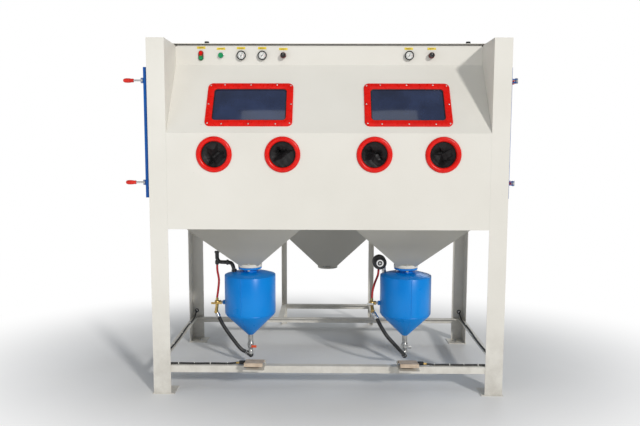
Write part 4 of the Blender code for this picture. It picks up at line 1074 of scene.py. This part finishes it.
def collector_details():
    """Door handle, and the flange screws on the rear panel."""
    place = spot(0.285, 1.5187, 1.42, (0, 1, 0))
    slab("collector_handle_plate", (0.026, 0.11, 0.0016), (0, 0, 0.0008), 0.0005, place, BLACK,
        "collector_door")
    places = [spot(x, 1.0902, z, (0, 1, 0)) for x in (-0.42, 0.42) for z in (1.0, 1.25, 1.5, 1.75)]
    bolts("rear_panel_bolts", places, 0.013)


# --- stage, light and camera
def stage():
    """Pale floor that fades into a white surround, one soft key from the upper right, gentle fill."""
    bm = bmesh.new()
    bmesh.ops.create_circle(bm, cap_ends=True, segments=96, radius=40.0)
    floor = show(bpy.data.objects.new("studio_floor", to_mesh("studio_floor", bm)))
    look = Finish("studio_paper", 0.75)
    look.colour(look.ramp(look.noise(1.4, 4), ((0.3, (0.74, 0.74, 0.735)), (0.7, (0.78, 0.78, 0.775)))))
    oval = look.node("ShaderNodeMapping", {"Scale": (0.72, 1.0, 1.0), "Vector": look.where})
    far = look.node("ShaderNodeVectorMath", {0: oval.outputs["Vector"]}, operation="LENGTH")
    fade = look.node("ShaderNodeMapRange", {"Value": far.outputs["Value"], "From Min": 0.7,
        "From Max": 2.1}, interpolation_type="SMOOTHSTEP")
    glow = look.node("ShaderNodeEmission", {"Color": WHITE})
    blend = look.node("ShaderNodeMixShader", {0: fade.outputs["Result"], 1: look.shader.outputs["BSDF"],
        2: glow.outputs["Emission"]})
    look.feed(look.tree.nodes["Material Output"].inputs["Surface"], blend.outputs["Shader"])
    floor.data.materials.append(look.material)
    sky()
    key = bpy.data.lights.new("key", "SUN")
    key.energy = 1.78
    key.angle = math.radians(5)
    key.color = (1.0, 0.98, 0.955)
    lamp = show(bpy.data.objects.new("key", key))
    lamp.rotation_euler = Vector((-0.48, 0.78, -0.43)).to_track_quat("-Z", "Y").to_euler()
    for name, place, power, size in (("fill_left", (-3.4, -3.0, 2.6), 22, 2.4),
            ("fill_top", (0.1, -3.3, 4.4), 15, 2.6), ("fill_rear", (2.6, 4.4, 3.4), 60, 2.4)):
        area = bpy.data.lights.new(name, "AREA")
        area.energy = power
        area.size = size
        area.color = (0.86, 0.93, 1.0)
        lamp = show(bpy.data.objects.new(name, area))
        lamp.location = place
        lamp.rotation_euler = (Vector((0, 0, 1.0)) - lamp.location).to_track_quat("-Z", "Y").to_euler()
    bpy.context.scene.view_settings.view_transform = "Standard"


def sky():
    """White surround as seen, with only part of its light reaching the machine."""
    world = bpy.data.worlds.new("studio")
    bpy.context.scene.world = world
    world.use_nodes = True
    tree = world.node_tree
    soft_light = tree.nodes["Background"]
    soft_light.inputs["Color"].default_value = (0.93, 0.96, 1.0, 1.0)
    soft_light.inputs["Strength"].default_value = 0.24
    seen = tree.nodes.new("ShaderNodeBackground")
    seen.inputs["Color"].default_value = WHITE
    path = tree.nodes.new("ShaderNodeLightPath")
    blend = tree.nodes.new("ShaderNodeMixShader")
    tree.links.new(path.outputs["Is Camera Ray"], blend.inputs["Fac"])
    tree.links.new(soft_light.outputs["Background"], blend.inputs[1])
    tree.links.new(seen.outputs["Background"], blend.inputs[2])
    tree.links.new(blend.outputs["Shader"], tree.nodes["World Output"].inputs["Surface"])


def camera():
    """Standing in front of the machine, at about head height."""
    yaw, pitch, roll = -0.0111, 0.1013, 0.0026
    right = Vector((math.cos(yaw), -math.sin(yaw), 0))
    forward = Vector((math.cos(pitch) * math.sin(yaw), math.cos(pitch) * math.cos(yaw), -math.sin(pitch)))
    up = right.cross(forward)
    side = right * math.cos(roll) + up * math.sin(roll)
    top = up * math.cos(roll) - right * math.sin(roll)
    lens = bpy.data.cameras.new("camera")
    lens.sensor_width = 36.0
    lens.lens = 35.9
    made = show(bpy.data.objects.new("camera", lens))
    made.matrix_world = (upright(-0.0063, -3.545, 1.411) @ Matrix((side, top,
        -forward)).transposed().to_4x4())
    bpy.context.scene.camera = made


for side_name, pot_x in (("left", -POT_X), ("right", POT_X)):
    blast_pot(side_name, pot_x, -0.039 if side_name == "left" else 0.018)
    hopper_outlet(side_name, pot_x)
    window(side_name, math.copysign(WINDOW_X, pot_x))
collector_outlet()
for index, (port_name, port_x) in enumerate((("left_outer", -0.635), ("left_inner", -0.255),
        ("right_inner", 0.255), ("right_outer", 0.635))):
    arm_port(port_name, port_x, 11 + index)
controls()
repaint(NAVY, "left_door", "right_door")
door_seal()
for side_name, side_sign in (("left", -1), ("right", 1)):
    for level_name, level_z in (("upper", 1.781), ("lower", 1.217)):
        latch(side_name, side_sign, level_name, level_z)
repaint(BEIGE, "left_pedal", "right_pedal")
air_valve("left", -0.663, -0.715, (-0.722, 0.5, 0.356), (-0.705, 0.5, 0.3215))
air_valve("right", 0.337, 0.285, (0.288, 0.466, 0.372), (0.315, 0.43, 0.3297))
discharge_valve("left", -POT_X, (-0.866, 0, 0.5), ORANGE)
discharge_valve("right", POT_X, (-0.302, -0.797, 0.522), STEEL)
hoses()
relief_pipe()
silencer()
for side_name, pedal_x, side_sign in (("left", -0.416, -1), ("right", 0.458, 1)):
    pedal_dressing(side_name, pedal_x, side_sign)
    rail_tube(side_name, pedal_x, side_sign)
    foot_bolts(side_name, side_sign)
roof_details()
collector_details()
repaint(GRIT, "work_grate")
stage()
camera()
repaint(CREAM, "left_side_frame", "right_side_frame", "front_rail", "rear_rail", "collector_frame",
    "front_panel", "left_side_panel", "right_side_panel", "rear_panel", "roof_panel", "collector_door")
# The hoppers and the collector housing get the darker cream, which paints in their shade.
repaint(HOPPER_SHADED_CREAM, "left_hopper", "right_hopper", "collector_housing")
